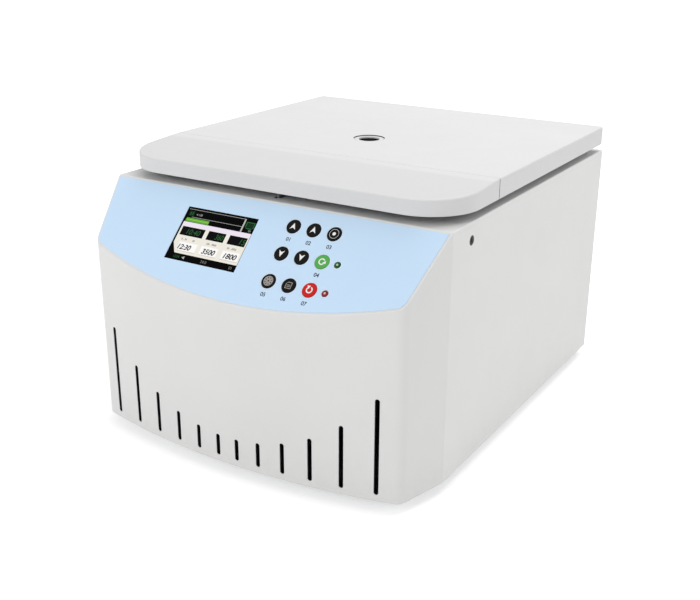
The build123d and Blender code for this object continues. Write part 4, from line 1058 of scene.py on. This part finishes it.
@dataclass
class CaseShell(Assembly):
    """The painted case with its rear panel, base and feet."""

    screw_radius: float = 3.6
    screw_height: float = 2.0

    def build(self) -> None:
        """Dresses the case and makes its screws."""
        self.dress(Palette.case, "main_case")
        self.dress(Palette.rear, "rear_panel")
        self.dress(Palette.zinc, "base_pan")
        self.dress(Palette.foot, "rubber_feet")
        self.rear_screws()

    def rear_screws(self) -> None:
        """Makes the rear panel's cross-head screws in the place of the plain ones."""
        low, high = span("case_screws")
        screws = Former("rear_panel_screws", Palette.bright, "case", "screw_steel")
        side = (high.x - low.x) / 2 - self.screw_radius
        for x in (-side, side):
            for z in (low.z + self.screw_radius, (low.z + high.z) / 2, high.z - self.screw_radius):
                with screws.at(frame_at((x, low.y, z), (-1, 0, 0), (0, 0, 1))):
                    screws.screw(self.screw_radius, self.screw_height)
        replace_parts(screws.done(), "case_screws")


@dataclass
class ControlPlane:
    """The sloped control face: places on it are measured from its middle and down from its top edge."""

    deck_front: float
    deck_height: float
    film: float = 0.6  # the film's thickness

    @classmethod
    def read(cls) -> ControlPlane:
        """Finds the face from the lid's front edge and the case's deck."""
        return cls(deck_front=span("lid_front_cap")[0].y, deck_height=span("main_case")[1].z)

    def place(self, x: float, drop: float, height: float) -> Matrix:
        """The place of a drawing on the face.

        Args:
            x: Distance to the right of the middle.
            drop: Distance down the slope from its top edge.
            height: Distance out of the case's surface.

        Returns:
            The drawing's matrix, with its Y up the slope.
        """
        y = self.deck_front - (drop + height) * LEAN
        z = self.deck_height - (drop - height) * LEAN
        return frame_at((x, y, z), (1, 0, 0), (0, 1, 1))

    def spot(self, node: str) -> Point:
        """Finds the middle of a node that stands square on the face.

        Args:
            node: The CAD node.

        Returns:
            Its X and its drop down the slope.
        """
        low, high = span(node)
        middle = (low + high) / 2
        return middle.x, (self.deck_front - middle.y + self.deck_height - middle.z) * LEAN

    def over(self, node: str, height: float, down: float = 0.0) -> Matrix:
        """The place of a drawing over a node that stands square on the face.

        Args:
            node: The CAD node.
            height: Distance out of the case's surface.
            down: Distance down the slope from the node's middle.

        Returns:
            The drawing's matrix, with its Y up the slope.
        """
        x, drop = self.spot(node)
        return self.place(x, drop + down, height)


@dataclass
class FaceAssembly(Assembly):
    """A sub-assembly that stands on the control face."""

    plane: ControlPlane


class Icon(Enum):
    """The mark on a key."""

    UP = "arrowhead up"
    DOWN = "arrowhead down"
    JOG = "dot in a ring"
    RUN = "arrow round to the right"
    ROTOR = "rotor seen from above"
    PAGE = "sheet of paper"
    HALT = "arrow round to the left"


@dataclass(frozen=True)
class Key:
    """One key: the stem of its names, its mark, the number printed below it and its cap's finish."""

    stem: str
    icon: Icon
    number: str = ""
    finish: Finish = Palette.black_key
    slot: str = "key_black"

    @property
    def node(self) -> str:
        """The key's CAD node."""
        return f"{self.stem}_key"


KEYS = (
    Key("speed_up", Icon.UP, "01"),
    Key("time_up", Icon.UP, "02"),
    Key("jog", Icon.JOG, "03"),
    Key("speed_down", Icon.DOWN),
    Key("time_down", Icon.DOWN),
    Key("start", Icon.RUN, "04", Palette.green_key, "key_green"),
    Key("rotor", Icon.ROTOR, "05"),
    Key("program", Icon.PAGE, "06"),
    Key("stop", Icon.HALT, "07", Palette.red_key, "key_red"),
)


@dataclass
class ControlFace(FaceAssembly):
    """The blue film with its embossed key borders, printed numbers and lamps."""

    key_radius: float = 7.8
    lamp_radius: float = 3.4
    border_gap: float = 0.35
    border: float = 0.75
    border_height: float = 0.32
    border_shoulder: float = 0.7  # the share of its height where a border rounds over
    border_slant: float = 0.12
    label_cap: float = 4.5
    label_drop: float = 14.6
    label_height: float = 0.03
    label_weight: float = 0.025
    lamp_crown: float = 0.9  # a lamp's crown above the film
    highlight_radius: float = 1.2
    highlight_height: float = 0.04

    def build(self) -> None:
        """Dresses the film and lamps, and makes what is embossed and printed on it and the painted
        highlights on the lamps.
        """
        self.dress(Palette.film, "control_overlay")
        self.dress(Palette.frosted_module, "display_module")
        self.dress(Palette.board, "control_board")
        self.dress(Palette.green_lens, "run_indicator")
        self.dress(Palette.red_lens, "stop_indicator")
        self.borders()
        self.labels()
        self.lamp_highlight("run_indicator", Palette.green_lens_highlight, "green_lens")
        self.lamp_highlight("stop_indicator", Palette.red_lens_highlight, "red_lens")

    def lamp_highlight(self, node: str, finish: Finish, slot: str) -> None:
        """Makes the painted highlight on the crown of a lamp: a pale disc that glows a little.

        Args:
            node: The lamp.
            finish: The highlight's finish.
            slot: The lamp's material slot.
        """
        highlight = Former(f"{node}_core", finish, "case", slot)
        with highlight.at(self.plane.over(node, self.plane.film + self.lamp_crown)):
            highlight.disc(self.highlight_radius, self.highlight_height, 28)
        highlight.done()

    def borders(self) -> None:
        """Embosses a low border round each key and lamp, paler than the film as a painted highlight."""
        rings = Former("embossed_key_borders", Palette.emboss_highlight, "case", "overlay_blue")
        shoulder = self.border_height * self.border_shoulder
        spots = [(key.node, self.key_radius) for key in KEYS]
        spots += [(lamp, self.lamp_radius) for lamp in ("run_indicator", "stop_indicator")]
        for node, radius in spots:
            inner = radius + self.border_gap
            outer = inner + self.border
            crest = ((inner + outer) / 2, self.border_height)
            sides = ((outer - self.border_slant, shoulder), crest, (inner + self.border_slant, shoulder))
            with rings.at(self.plane.over(node, self.plane.film)):
                rings.ring(((inner, 0), (outer, 0)) + sides, steps=56)
        rings.done()

    def labels(self) -> None:
        """Prints a plain number below each key that has one."""
        marks = Former("printed_key_numbers", Palette.label, "case", "overlay_blue")
        for key in KEYS:
            if key.number:
                with marks.at(self.plane.over(key.node, self.plane.film, self.label_drop)):
                    marks.text(key.number, self.label_cap, self.label_height, weight=self.label_weight)
        marks.done()


@dataclass
class Keypad(FaceAssembly):
    """The key caps and the marks printed on them."""

    crown: float = 1.5  # a cap's face above the case's surface
    ink: float = 0.04  # the ink's thickness
    dot: float = 1.9
    hairline: Point = (4.85, 5.15)  # each band's inner and outer radius
    arrow_band: Point = (2.35, 3.65)
    rotor_rim: Point = (4.4, 5.4)
    rotor_hub: Point = (0.9, 1.9)
    rotor_places: int = 8

    def build(self) -> None:
        """Dresses each cap and prints its mark."""
        for key in KEYS:
            self.dress(key.finish, key.node)
            colour = Palette.grey_ink if key.icon in (Icon.ROTOR, Icon.PAGE) else Palette.white_ink
            mark = Former(f"{key.stem}_mark", colour, f"{key.stem}_cap", key.slot)
            with mark.at(self.plane.over(key.node, self.crown)):
                self.draw(mark, key.icon)
            mark.done()

    def draw(self, mark: Former, icon: Icon) -> None:
        """Draws a key's mark about the middle of its cap.

        Args:
            mark: The piece that it joins.
            icon: Which mark it is.
        """
        drawing = {
            Icon.UP: lambda: self.arrowhead(mark, 1),
            Icon.DOWN: lambda: self.arrowhead(mark, -1),
            Icon.JOG: lambda: self.jog(mark),
            Icon.RUN: lambda: self.round_arrow(mark, 0, [(0.9, -1.3), (4.9, -1.9), (4.2, 1.7)]),
            Icon.HALT: lambda: self.round_arrow(mark, 105, [(1.0, 1.2), (4.3, -1.2), (5.1, 2.6)]),
            Icon.ROTOR: lambda: self.rotor(mark),
            Icon.PAGE: lambda: self.page(mark),
        }
        drawing[icon]()

    def arrowhead(self, mark: Former, sense: int) -> None:
        """Draws a notched arrowhead that points up or down."""
        corners = ((0, 4.0), (-3.4, -3.5), (0, -1.4), (3.4, -3.5))
        mark.plate([(x, y * sense) for x, y in corners], self.ink)

    def jog(self, mark: Former) -> None:
        """Draws a dot in a hairline ring."""
        mark.disc(self.dot, self.ink, 24)
        mark.band(*self.hairline, self.ink)

    def round_arrow(self, mark: Former, turn: float, head: Sequence[Point]) -> None:
        """Draws an open ring that ends in an arrowhead.

        Args:
            mark: The piece that it joins.
            turn: How far it is turned, in degrees.
            head: The arrowhead's corners.
        """
        with mark.at(turned(turn)):
            mark.band(*self.arrow_band, self.ink, start=35, sweep=290, steps=36)
            mark.plate(head, self.ink)

    def rotor(self, mark: Former) -> None:
        """Draws a rotor from above: a rim, a hub and the places between them.

        Args:
            mark: The piece that it joins.
        """
        mark.band(*self.rotor_rim, self.ink)
        mark.band(*self.rotor_hub, self.ink, steps=24)
        for station in range(self.rotor_places):
            with mark.at(turned(360 * station / self.rotor_places)):
                mark.plate([(1.8, -0.75), (4.5, -1.1), (4.5, 1.1), (1.8, 0.75)], self.ink)

    def page(self, mark: Former) -> None:
        """Draws the outline of a sheet with a cut corner and two lines on it.

        Args:
            mark: The piece that it joins.
        """
        for left, low, right, high in (
            (-3.5, -3.6, 3.5, -2.9),
            (2.8, -2.9, 3.5, 3.6),
            (-1.8, 0.0, 1.9, 0.7),
            (-1.8, -1.6, 1.9, -0.9),
        ):
            mark.panel(left, low, right, high, self.ink)
        mark.plate([(-3.5, -2.9), (-2.8, -2.9), (-2.8, 1.9), (-3.5, 1.6)], self.ink)
        mark.plate([(-3.5, 1.6), (-2.8, 1.9), (-1.2, 2.9), (-1.5, 3.6)], self.ink)
        mark.plate([(-1.2, 2.9), (2.8, 2.9), (2.8, 3.6), (-1.5, 3.6)], self.ink)


@dataclass
class DisplayPicture(FaceAssembly):
    """The picture on the display: bars, fields and plain numbers, drawn from its top left corner."""

    layer: float = 0.02
    glass_depth: float = 2.0
    inset: Point = (0.7, 0.65)  # where the lit area starts, across and down from the glass's corner
    band_top: float = 18.0
    page_top: float = 23.2
    page_left: float = 1.6
    page_right: float = 90.6
    # where each column starts in the dark row, ends, and starts in the pale rows
    columns: tuple[Triple, ...] = ((3.8, 34.1, 9.0), (39.0, 61.6, 38.6), (66.6, 89.1, 66.6))
    run_short: float = 0.8  # how much sooner a pale field ends
    set_row: Point = (23.6, 34.1)  # the top and the bottom of each row
    run_row: Point = (41.9, 51.4)
    rule_row: Point = (52.3, 52.5)
    set_drop: float = 29.0
    run_drop: float = 47.4
    caption_drop: float = 38.5
    figure_cap: float = 6.2
    header_cap: float = 2.4
    caption_cap: float = 2.3
    slant: float = 0.22
    bold: float = 0.025

    def build(self) -> None:
        """Dresses the glass and draws the picture on it."""
        self.dress(Palette.glass, "display_window")
        low, high = span("display_window")
        # the glass is a block square to the slope, so its box gives its length plus its depth
        length = (high.z - low.z) / LEAN - self.glass_depth
        self.left = low.x + self.inset[0]
        self.top = self.plane.spot("display_window")[1] - length / 2 + self.inset[1]
        log.info("display from %.1f, %.1f, %.1f long", self.left, self.top, length)
        self.header()
        self.page()
        self.figures()
        self.footer()

    def former(self, name: str, finish: Finish) -> Former:
        """Starts one layer of the picture."""
        return Former(f"display_{name}", finish, "case", "window_black")

    def at(self, across: float, down: float, layer: int) -> Matrix:
        """A place on the picture, counted from its top left corner, on a layer."""
        height = self.plane.film + layer * self.layer
        return self.plane.place(self.left + across, self.top + down, height)

    def bars(self, name: str, finish: Finish, layer: int, *outlines: Sequence[Point]) -> None:
        """Draws flat fields of one colour.

        Args:
            name: The layer's name.
            finish: Its finish.
            layer: How high it lies.
            *outlines: The corners of each field, across and down from the top left corner.
        """
        fields = self.former(name, finish)
        with fields.at(self.at(0, 0, layer)):
            for outline in outlines:
                fields.plate([(across, -down) for across, down in outline], self.layer)
        fields.done()

    def blocks(self, name: str, finish: Finish, layer: int, *corners: Sequence[float]) -> None:
        """Draws upright fields of one colour.

        Args:
            name: The layer's name.
            finish: Its finish.
            layer: How high it lies.
            *corners: Across and down to each field's first corner, and to the one across from it.
        """
        self.bars(name, finish, layer, *(((x, y), (u, y), (u, v), (x, v)) for x, y, u, v in corners))

    def numbers(
        self,
        name: str,
        finish: Finish,
        cap: float,
        *entries: tuple[str, float, float],
        weight: float = 0.0,
    ) -> None:
        """Writes small upright numbers.

        Args:
            name: The layer's name.
            finish: Its finish.
            cap: The height of the figures.
            *entries: What is written, with its middle across and down.
            weight: How much the strokes are thickened.
        """
        layer = self.former(name, finish)
        for words, across, down in entries:
            with layer.at(self.at(across, down, 1)):
                layer.text(words, cap, self.layer, weight=weight)
        layer.done()

    def values(
        self,
        name: str,
        finish: Finish,
        down: float,
        *entries: tuple[str, float, float],
        weight: float = 0.0,
    ) -> None:
        """Writes large leaning numbers.

        Args:
            name: The layer's name.
            finish: Its finish.
            down: How far down their middle lies.
            *entries: What is written, with its left and right end.
            weight: How much the strokes are thickened.
        """
        layer = self.former(name, finish)
        for words, left, right in entries:
            with layer.at(self.at((left + right) / 2, down, 2)):
                layer.text(words, self.figure_cap, self.layer, self.slant, right - left, weight)
        layer.done()

    def header(self) -> None:
        """Draws the bars, the running number and the level mark along the top."""
        line = Palette.lit_line
        leaf = Palette.lit_leaf
        moss = Palette.lit_moss
        bar = ((3.2, 12.9), (33.4, 12.9), (33.4, 17.5), (2.6, 17.5))
        sides = ((79.0, 6.3, 80.2, 12.0), (88.6, 6.3, 89.8, 12.0))
        rails = ((1.2, 2.4, 75.0, 2.8), (9.0, 11.6, 75.0, 12.0), (75.2, 2.4, 77.1, 17.8))
        self.blocks("lines", line, 0, *rails)
        self.bars("progress", Palette.lit_green, 0, bar)
        self.blocks("progress_shine", Palette.lit_lime, 1, (3.4, 14.5, 33.0, 15.5))
        self.blocks("badge", moss, 0, (3.4, 4.6, 10.5, 10.5))
        self.blocks("badge_mark", leaf, 1, (5.0, 6.0, 6.0, 9.2), (7.8, 6.0, 8.8, 9.2))
        self.blocks("level_frame", leaf, 0, (79.0, 5.2, 89.8, 6.3), (80.6, 12.2, 88.2, 13.3), *sides)
        self.blocks("level", moss, 0, (80.6, 6.8, 88.2, 11.7))
        self.numbers("header_numbers", line, self.header_cap, ("4-120", 17.4, 7.9), ("01", 86.4, 15.4))

    @staticmethod
    def row(height: Point, ends: Sequence[Point]) -> list[tuple[float, ...]]:
        """The fields of one row, from its top and bottom and the left and right end of each."""
        return [(left, height[0], right, height[1]) for left, right in ends]

    def page(self) -> None:
        """Draws the pale page with its dark and light fields."""
        left, top, right = self.page_left, self.page_top, self.page_right
        outline = ((left, top), (right, top), (right, 55.3), (8.8, 55.3), (left, 43.6))
        dark = self.row(self.set_row, [(start, end) for start, end, _ in self.columns])
        light = self.row(self.run_row, [(start, end - self.run_short) for _, end, start in self.columns])
        rules = self.row(self.rule_row, [(start, end) for _, end, start in self.columns])
        self.bars("page", Palette.lit_cream, 0, outline)
        self.blocks("band", Palette.lit_band, 0, (left, self.band_top, right, top))
        self.blocks("set_fields", Palette.dead_cell, 1, *dark)
        self.blocks("run_fields", Palette.lit_white, 1, *light)
        self.blocks("rules", Palette.lit_grey, 1, *rules)

    def figures(self) -> None:
        """Writes the set and running values and their limits as plain numbers."""
        settings = (("10:40", 11.6, 29.4), ("360", 49.4, 60.0), ("15", 81.2, 88.2))
        running = (("12:30", 9.4, 26.6), ("3500", 41.5, 58.4), ("1800", 69.8, 86.2))
        limits = (("0 - 24", 13.0), ("60", 25.6), ("100 - 4000", 49.2), ("50 - 2000", 75.6))
        captions = [(words, across, self.caption_drop) for words, across in limits]
        self.values("set_figures", Palette.lit_fern, self.set_drop, *settings)
        self.values("run_figures", Palette.digit_cell, self.run_drop, *running, weight=self.bold)
        self.numbers("captions", Palette.lit_grey, self.caption_cap, *captions, weight=self.bold)

    def footer(self) -> None:
        """Draws the numbers along the bottom."""
        self.numbers("footer_green", Palette.lit_leaf, 3.0, ("1234", 13.9, 59.2))
        self.bars("footer_arrow", Palette.lit_line, 0, ((20.6, 59.2), (24.2, 57.5), (24.2, 60.9)))
        self.numbers("footer_numbers", Palette.lit_grey, 3.2, ("24.0", 49.8, 59.3), ("01", 84.4, 59.3))


@dataclass
class Lid(Assembly):
    """The lid's painted shells, liner, sight port, striker and hinges."""

    screw_radius: float = 4.0
    screw_height: float = 1.1
    screw_inset: float = 20.0
    front_inset: float = 52.0
    middle_shift: float = -70.0  # from the liner's middle

    def build(self) -> None:
        """Dresses the lid and makes the liner's screws."""
        self.dress(Palette.lid, "lid_shell", "lid_front_cap")
        self.dress(Palette.liner, "lid_liner")
        self.dress(Palette.stainless, "chamber_plate")
        self.dress(Palette.bezel, "lid_port_bezel")
        self.dress(Palette.port, "lid_window")
        self.dress(Palette.striker, "lid_striker")
        self.dress(Palette.ground, "hinge_pins")
        self.dress(Palette.hinge, "hinge_leaves", "hinge_brackets")
        self.liner_screws()

    def liner_screws(self) -> None:
        """Makes the screws that hold the liner up in the lid."""
        low, high = span("lid_liner")
        screws = Former("lid_liner_screws", Palette.bright, "lid", "screw_steel")
        side = high.x - self.screw_inset
        middle = (low.y + high.y) / 2 + self.middle_shift
        for x in (-side, side):
            for y in (low.y + self.front_inset, middle, high.y - self.screw_inset):
                with screws.at(frame_at((x, y, low.z), (1, 0, 0), (0, -1, 0))):
                    screws.screw(self.screw_radius, self.screw_height)
        screws.done()


@dataclass
class LidLock(Assembly):
    """The lock's solenoid, bolt, release rod and the plug in the side hole."""

    def build(self) -> None:
        """Dresses the lock."""
        self.dress(Palette.coil, "lock_solenoid")
        self.dress(Palette.ground, "lock_bolt", "release_rod")
        self.dress(Palette.zinc, "lock_brackets")
        self.dress(Palette.black_plastic, "release_hole_plug")


@dataclass
class SlideRotor(Assembly):
    """The chamber and the rotor with its slide clips."""

    stations: int = 12
    disc_top: float = 4.0  # above the rotor head's underside
    number_radius: float = 93.0
    number_cap: float = 5.0
    number_height: float = 0.03

    def build(self) -> None:
        """Dresses the chamber and rotor, and numbers the stations."""
        self.dress(Palette.bowl, "chamber_bowl")
        self.dress(Palette.gasket, "chamber_gasket")
        self.dress(Palette.rotor, "rotor_head", "clip_cradles")
        self.dress(Palette.spindle, "rotor_spindle")
        self.dress(Palette.knob, "rotor_nut")
        self.dress(Palette.clip, "slide_clips")
        self.dress(Palette.slide, "glass_slides")
        self.dress(Palette.card, "filter_cards")
        self.dress(Palette.funnel, "sample_funnels")
        self.dress(Palette.funnel_cap, "funnel_caps")
        self.numbers()

    def numbers(self) -> None:
        """Prints each station's number on the rotor's disc, to be read from outside."""
        low, high = span("rotor_head")
        centre = (low + high) / 2
        marks = Former("station_numbers", Palette.dark_ink, "rotor", "rotor_alloy")
        for station in range(self.stations):
            angle = 2 * math.pi * station / self.stations
            out = Vector((math.cos(angle), math.sin(angle), 0))
            spot = Vector((centre.x, centre.y, low.z + self.disc_top)) + self.number_radius * out
            with marks.at(frame_at(spot, (-out.y, out.x, 0), -out)):
                marks.text(str(station + 1), self.number_cap, self.number_height)
        marks.done()


@dataclass
class RearServices(Assembly):
    """The fan, mains inlet, fuse drawer and power switch on the rear panel."""

    pin_width: float = 2.0
    pin_tall: float = 4.0
    pin_length: float = 12.6
    pin_spacing: float = 7.0
    pin_rise: float = 8.0  # the pins' middle above the inlet's
    sleeve: float = 0.08
    sleeve_foot: float = 0.2
    sleeve_over: float = 0.1  # how far a sleeve stands past the end of its pin
    socket_depth: float = 19.0
    rocker_rise: float = 5.0
    rocker_lean: float = 16.0
    rocker_ridge: float = 0.42  # the ridge between the rocker's halves, above its pin
    bar: Point = (0.45, 2.4)  # half the printed bar's width and length
    circle: Point = (1.7, 2.4)  # the printed ring's inner and outer radius
    bar_ink: float = 0.05
    circle_ink: float = 0.06

    def build(self) -> None:
        """Dresses the services, and makes the inlet's blades and the rocker's marks."""
        self.dress(Palette.black_plastic, "power_inlet", "switch_body", "fan_frame")
        self.dress(Palette.grey_plastic, "fuse_drawer", "fan_impeller")
        self.dress(Palette.bright, "fan_guard")
        self.dress(Palette.black_key, "power_rocker")
        self.blades()
        self.rocker_marks()

    def blades(self) -> None:
        """Sleeves the inlet's three pins in bright metal."""
        low, high = span("power_inlet")
        middle = (low + high) / 2
        foot = high.y - self.socket_depth + self.sleeve_foot
        across = self.pin_width / 2 + self.sleeve
        up = self.pin_tall / 2 + self.sleeve
        length = self.pin_length + self.sleeve_foot + self.sleeve_over
        blades = Former("inlet_blades", Palette.bright, "case", "screw_steel")
        for side, rise in ((0, 1), (self.pin_spacing, -1), (-self.pin_spacing, -1)):
            z = middle.z + self.pin_rise + rise * self.pin_tall / 2
            with blades.at(frame_at((middle.x + side, foot, z), (-1, 0, 0), (0, 0, 1))):
                blades.panel(-across, -up, across, up, length)
        blades.done()

    def rocker_marks(self) -> None:
        """Prints the bar and the ring on the rocker's two halves."""
        low, high = span("switch_body")
        pin = Vector(((low.x + high.x) / 2, high.y, (low.z + high.z) / 2))
        marks = Former("rocker_marks", Palette.white_ink, "rocker", "key_black")
        with marks.at(frame_at(pin + Vector((0, 0, self.rocker_rise)), (-1, 0, 0), (0, 0, 1))):
            marks.panel(-self.bar[0], -self.bar[1], *self.bar, self.bar_ink)
        lean = math.radians(self.rocker_lean)
        along = Vector((0, math.sin(lean), -math.cos(lean)))
        pressed = pin + Vector((0, 0, self.rocker_ridge)) + self.rocker_rise * along
        with marks.at(frame_at(pressed, (-1, 0, 0), -along)):
            marks.band(*self.circle, self.circle_ink, steps=32)
        marks.done()


@dataclass
class Drive(Assembly):
    """The motor on its dampers, the power supply and the drive board."""

    def build(self) -> None:
        """Dresses the drive."""
        self.dress(Palette.motor, "drive_motor")
        self.dress(Palette.zinc, "motor_plate", "power_supply")
        self.dress(Palette.damper, "motor_dampers")
        self.dress(Palette.board, "drive_board")


# ---------------------------------------------------------------- studio


@dataclass(frozen=True)
class Lamp:
    """One soft lamp: where it hangs, its size, its power and what it looks at."""

    name: str
    spot: Triple
    size: float
    power: float
    aim: Triple = (0.0, 0.0, 0.15)


@dataclass
class Studio:
    """A pale seamless floor, soft lamps, an even sky and the camera."""

    floor_reach: float = 14.0
    lens: float = 52.28
    sensor: float = 36.0
    nearest: float = 0.05
    camera_spot: Triple = (0.6022, -0.9983, 0.5555)
    camera_turn: Triple = (69.2631, -0.3329, 31.6104)  # about each axis, in degrees
    sky: float = 0.55
    lamps: tuple[Lamp, ...] = (
        Lamp("overhead_softbox", (0.3, 1.0, 2.3), 1.6, 24.0),
        Lamp("front_softbox", (-0.9, -2.2, 1.1), 1.5, 19.0),
        Lamp("side_softbox", (2.2, -0.3, 1.0), 1.4, 8.5),
    )

    def build(self) -> None:
        """Sets up the floor, the light and the camera."""
        self.floor()
        self.light_sky()
        for lamp in self.lamps:
            self.hang(lamp)
        self.camera()
        bpy.context.scene.view_settings.view_transform = "Standard"

    def floor(self) -> None:
        """Lays the floor."""
        sheet = bmesh.new()
        bmesh.ops.create_grid(sheet, x_segments=2, y_segments=2, size=self.floor_reach)
        data = bpy.data.meshes.new("studio_floor")
        sheet.to_mesh(data)
        sheet.free()
        data.materials.append(Palette.paper.material())
        stand("studio_floor", data)

    def light_sky(self) -> None:
        """Lights the scene evenly from all round, and shows white behind the object."""
        world = bpy.data.worlds.new("studio_sky")
        tree = Tree(world)
        dim = tree.node("ShaderNodeBackground", {"Color": WHITE, "Strength": self.sky})
        full = tree.node("ShaderNodeBackground", {"Color": WHITE, "Strength": 1.0})
        either = {0: tree.seen(), 1: dim.outputs[0], 2: full.outputs[0]}
        chosen = tree.node("ShaderNodeMixShader", either)
        tree.node("ShaderNodeOutputWorld", {"Surface": chosen.outputs[0]})
        bpy.context.scene.world = world

    @staticmethod
    def hang(lamp: Lamp) -> None:
        """Hangs one lamp.

        Args:
            lamp: The lamp.
        """
        light = bpy.data.lights.new(lamp.name, "AREA")
        light.shape = "SQUARE"
        light.size = lamp.size
        light.energy = lamp.power
        toward = (Vector(lamp.aim) - Vector(lamp.spot)).to_track_quat("-Z", "Y")
        stand(lamp.name, light).matrix_world = Matrix.Translation(lamp.spot) @ toward.to_matrix().to_4x4()

    def camera(self) -> None:
        """Puts the camera in its place."""
        data = bpy.data.cameras.new("studio_camera")
        data.lens = self.lens
        data.sensor_width = self.sensor
        data.sensor_fit = "HORIZONTAL"
        data.clip_start = self.nearest
        camera = stand("studio_camera", data)
        turn = Euler([math.radians(angle) for angle in self.camera_turn]).to_matrix().to_4x4()
        camera.matrix_world = Matrix.Translation(self.camera_spot) @ turn
        bpy.context.scene.camera = camera


def main() -> None:
    """Loads the frame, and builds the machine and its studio."""
    logging.basicConfig(level=logging.INFO, format="%(name)s: %(message)s", stream=sys.stdout)
    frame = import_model()
    plane = ControlPlane.read()
    for assembly in (
        CaseShell(frame),
        ControlFace(frame, plane),
        Keypad(frame, plane),
        DisplayPicture(frame, plane),
        Lid(frame),
        LidLock(frame),
        SlideRotor(frame),
        RearServices(frame),
        Drive(frame),
    ):
        assembly.build()
    Studio().build()


if __name__ == "__main__":
    main()
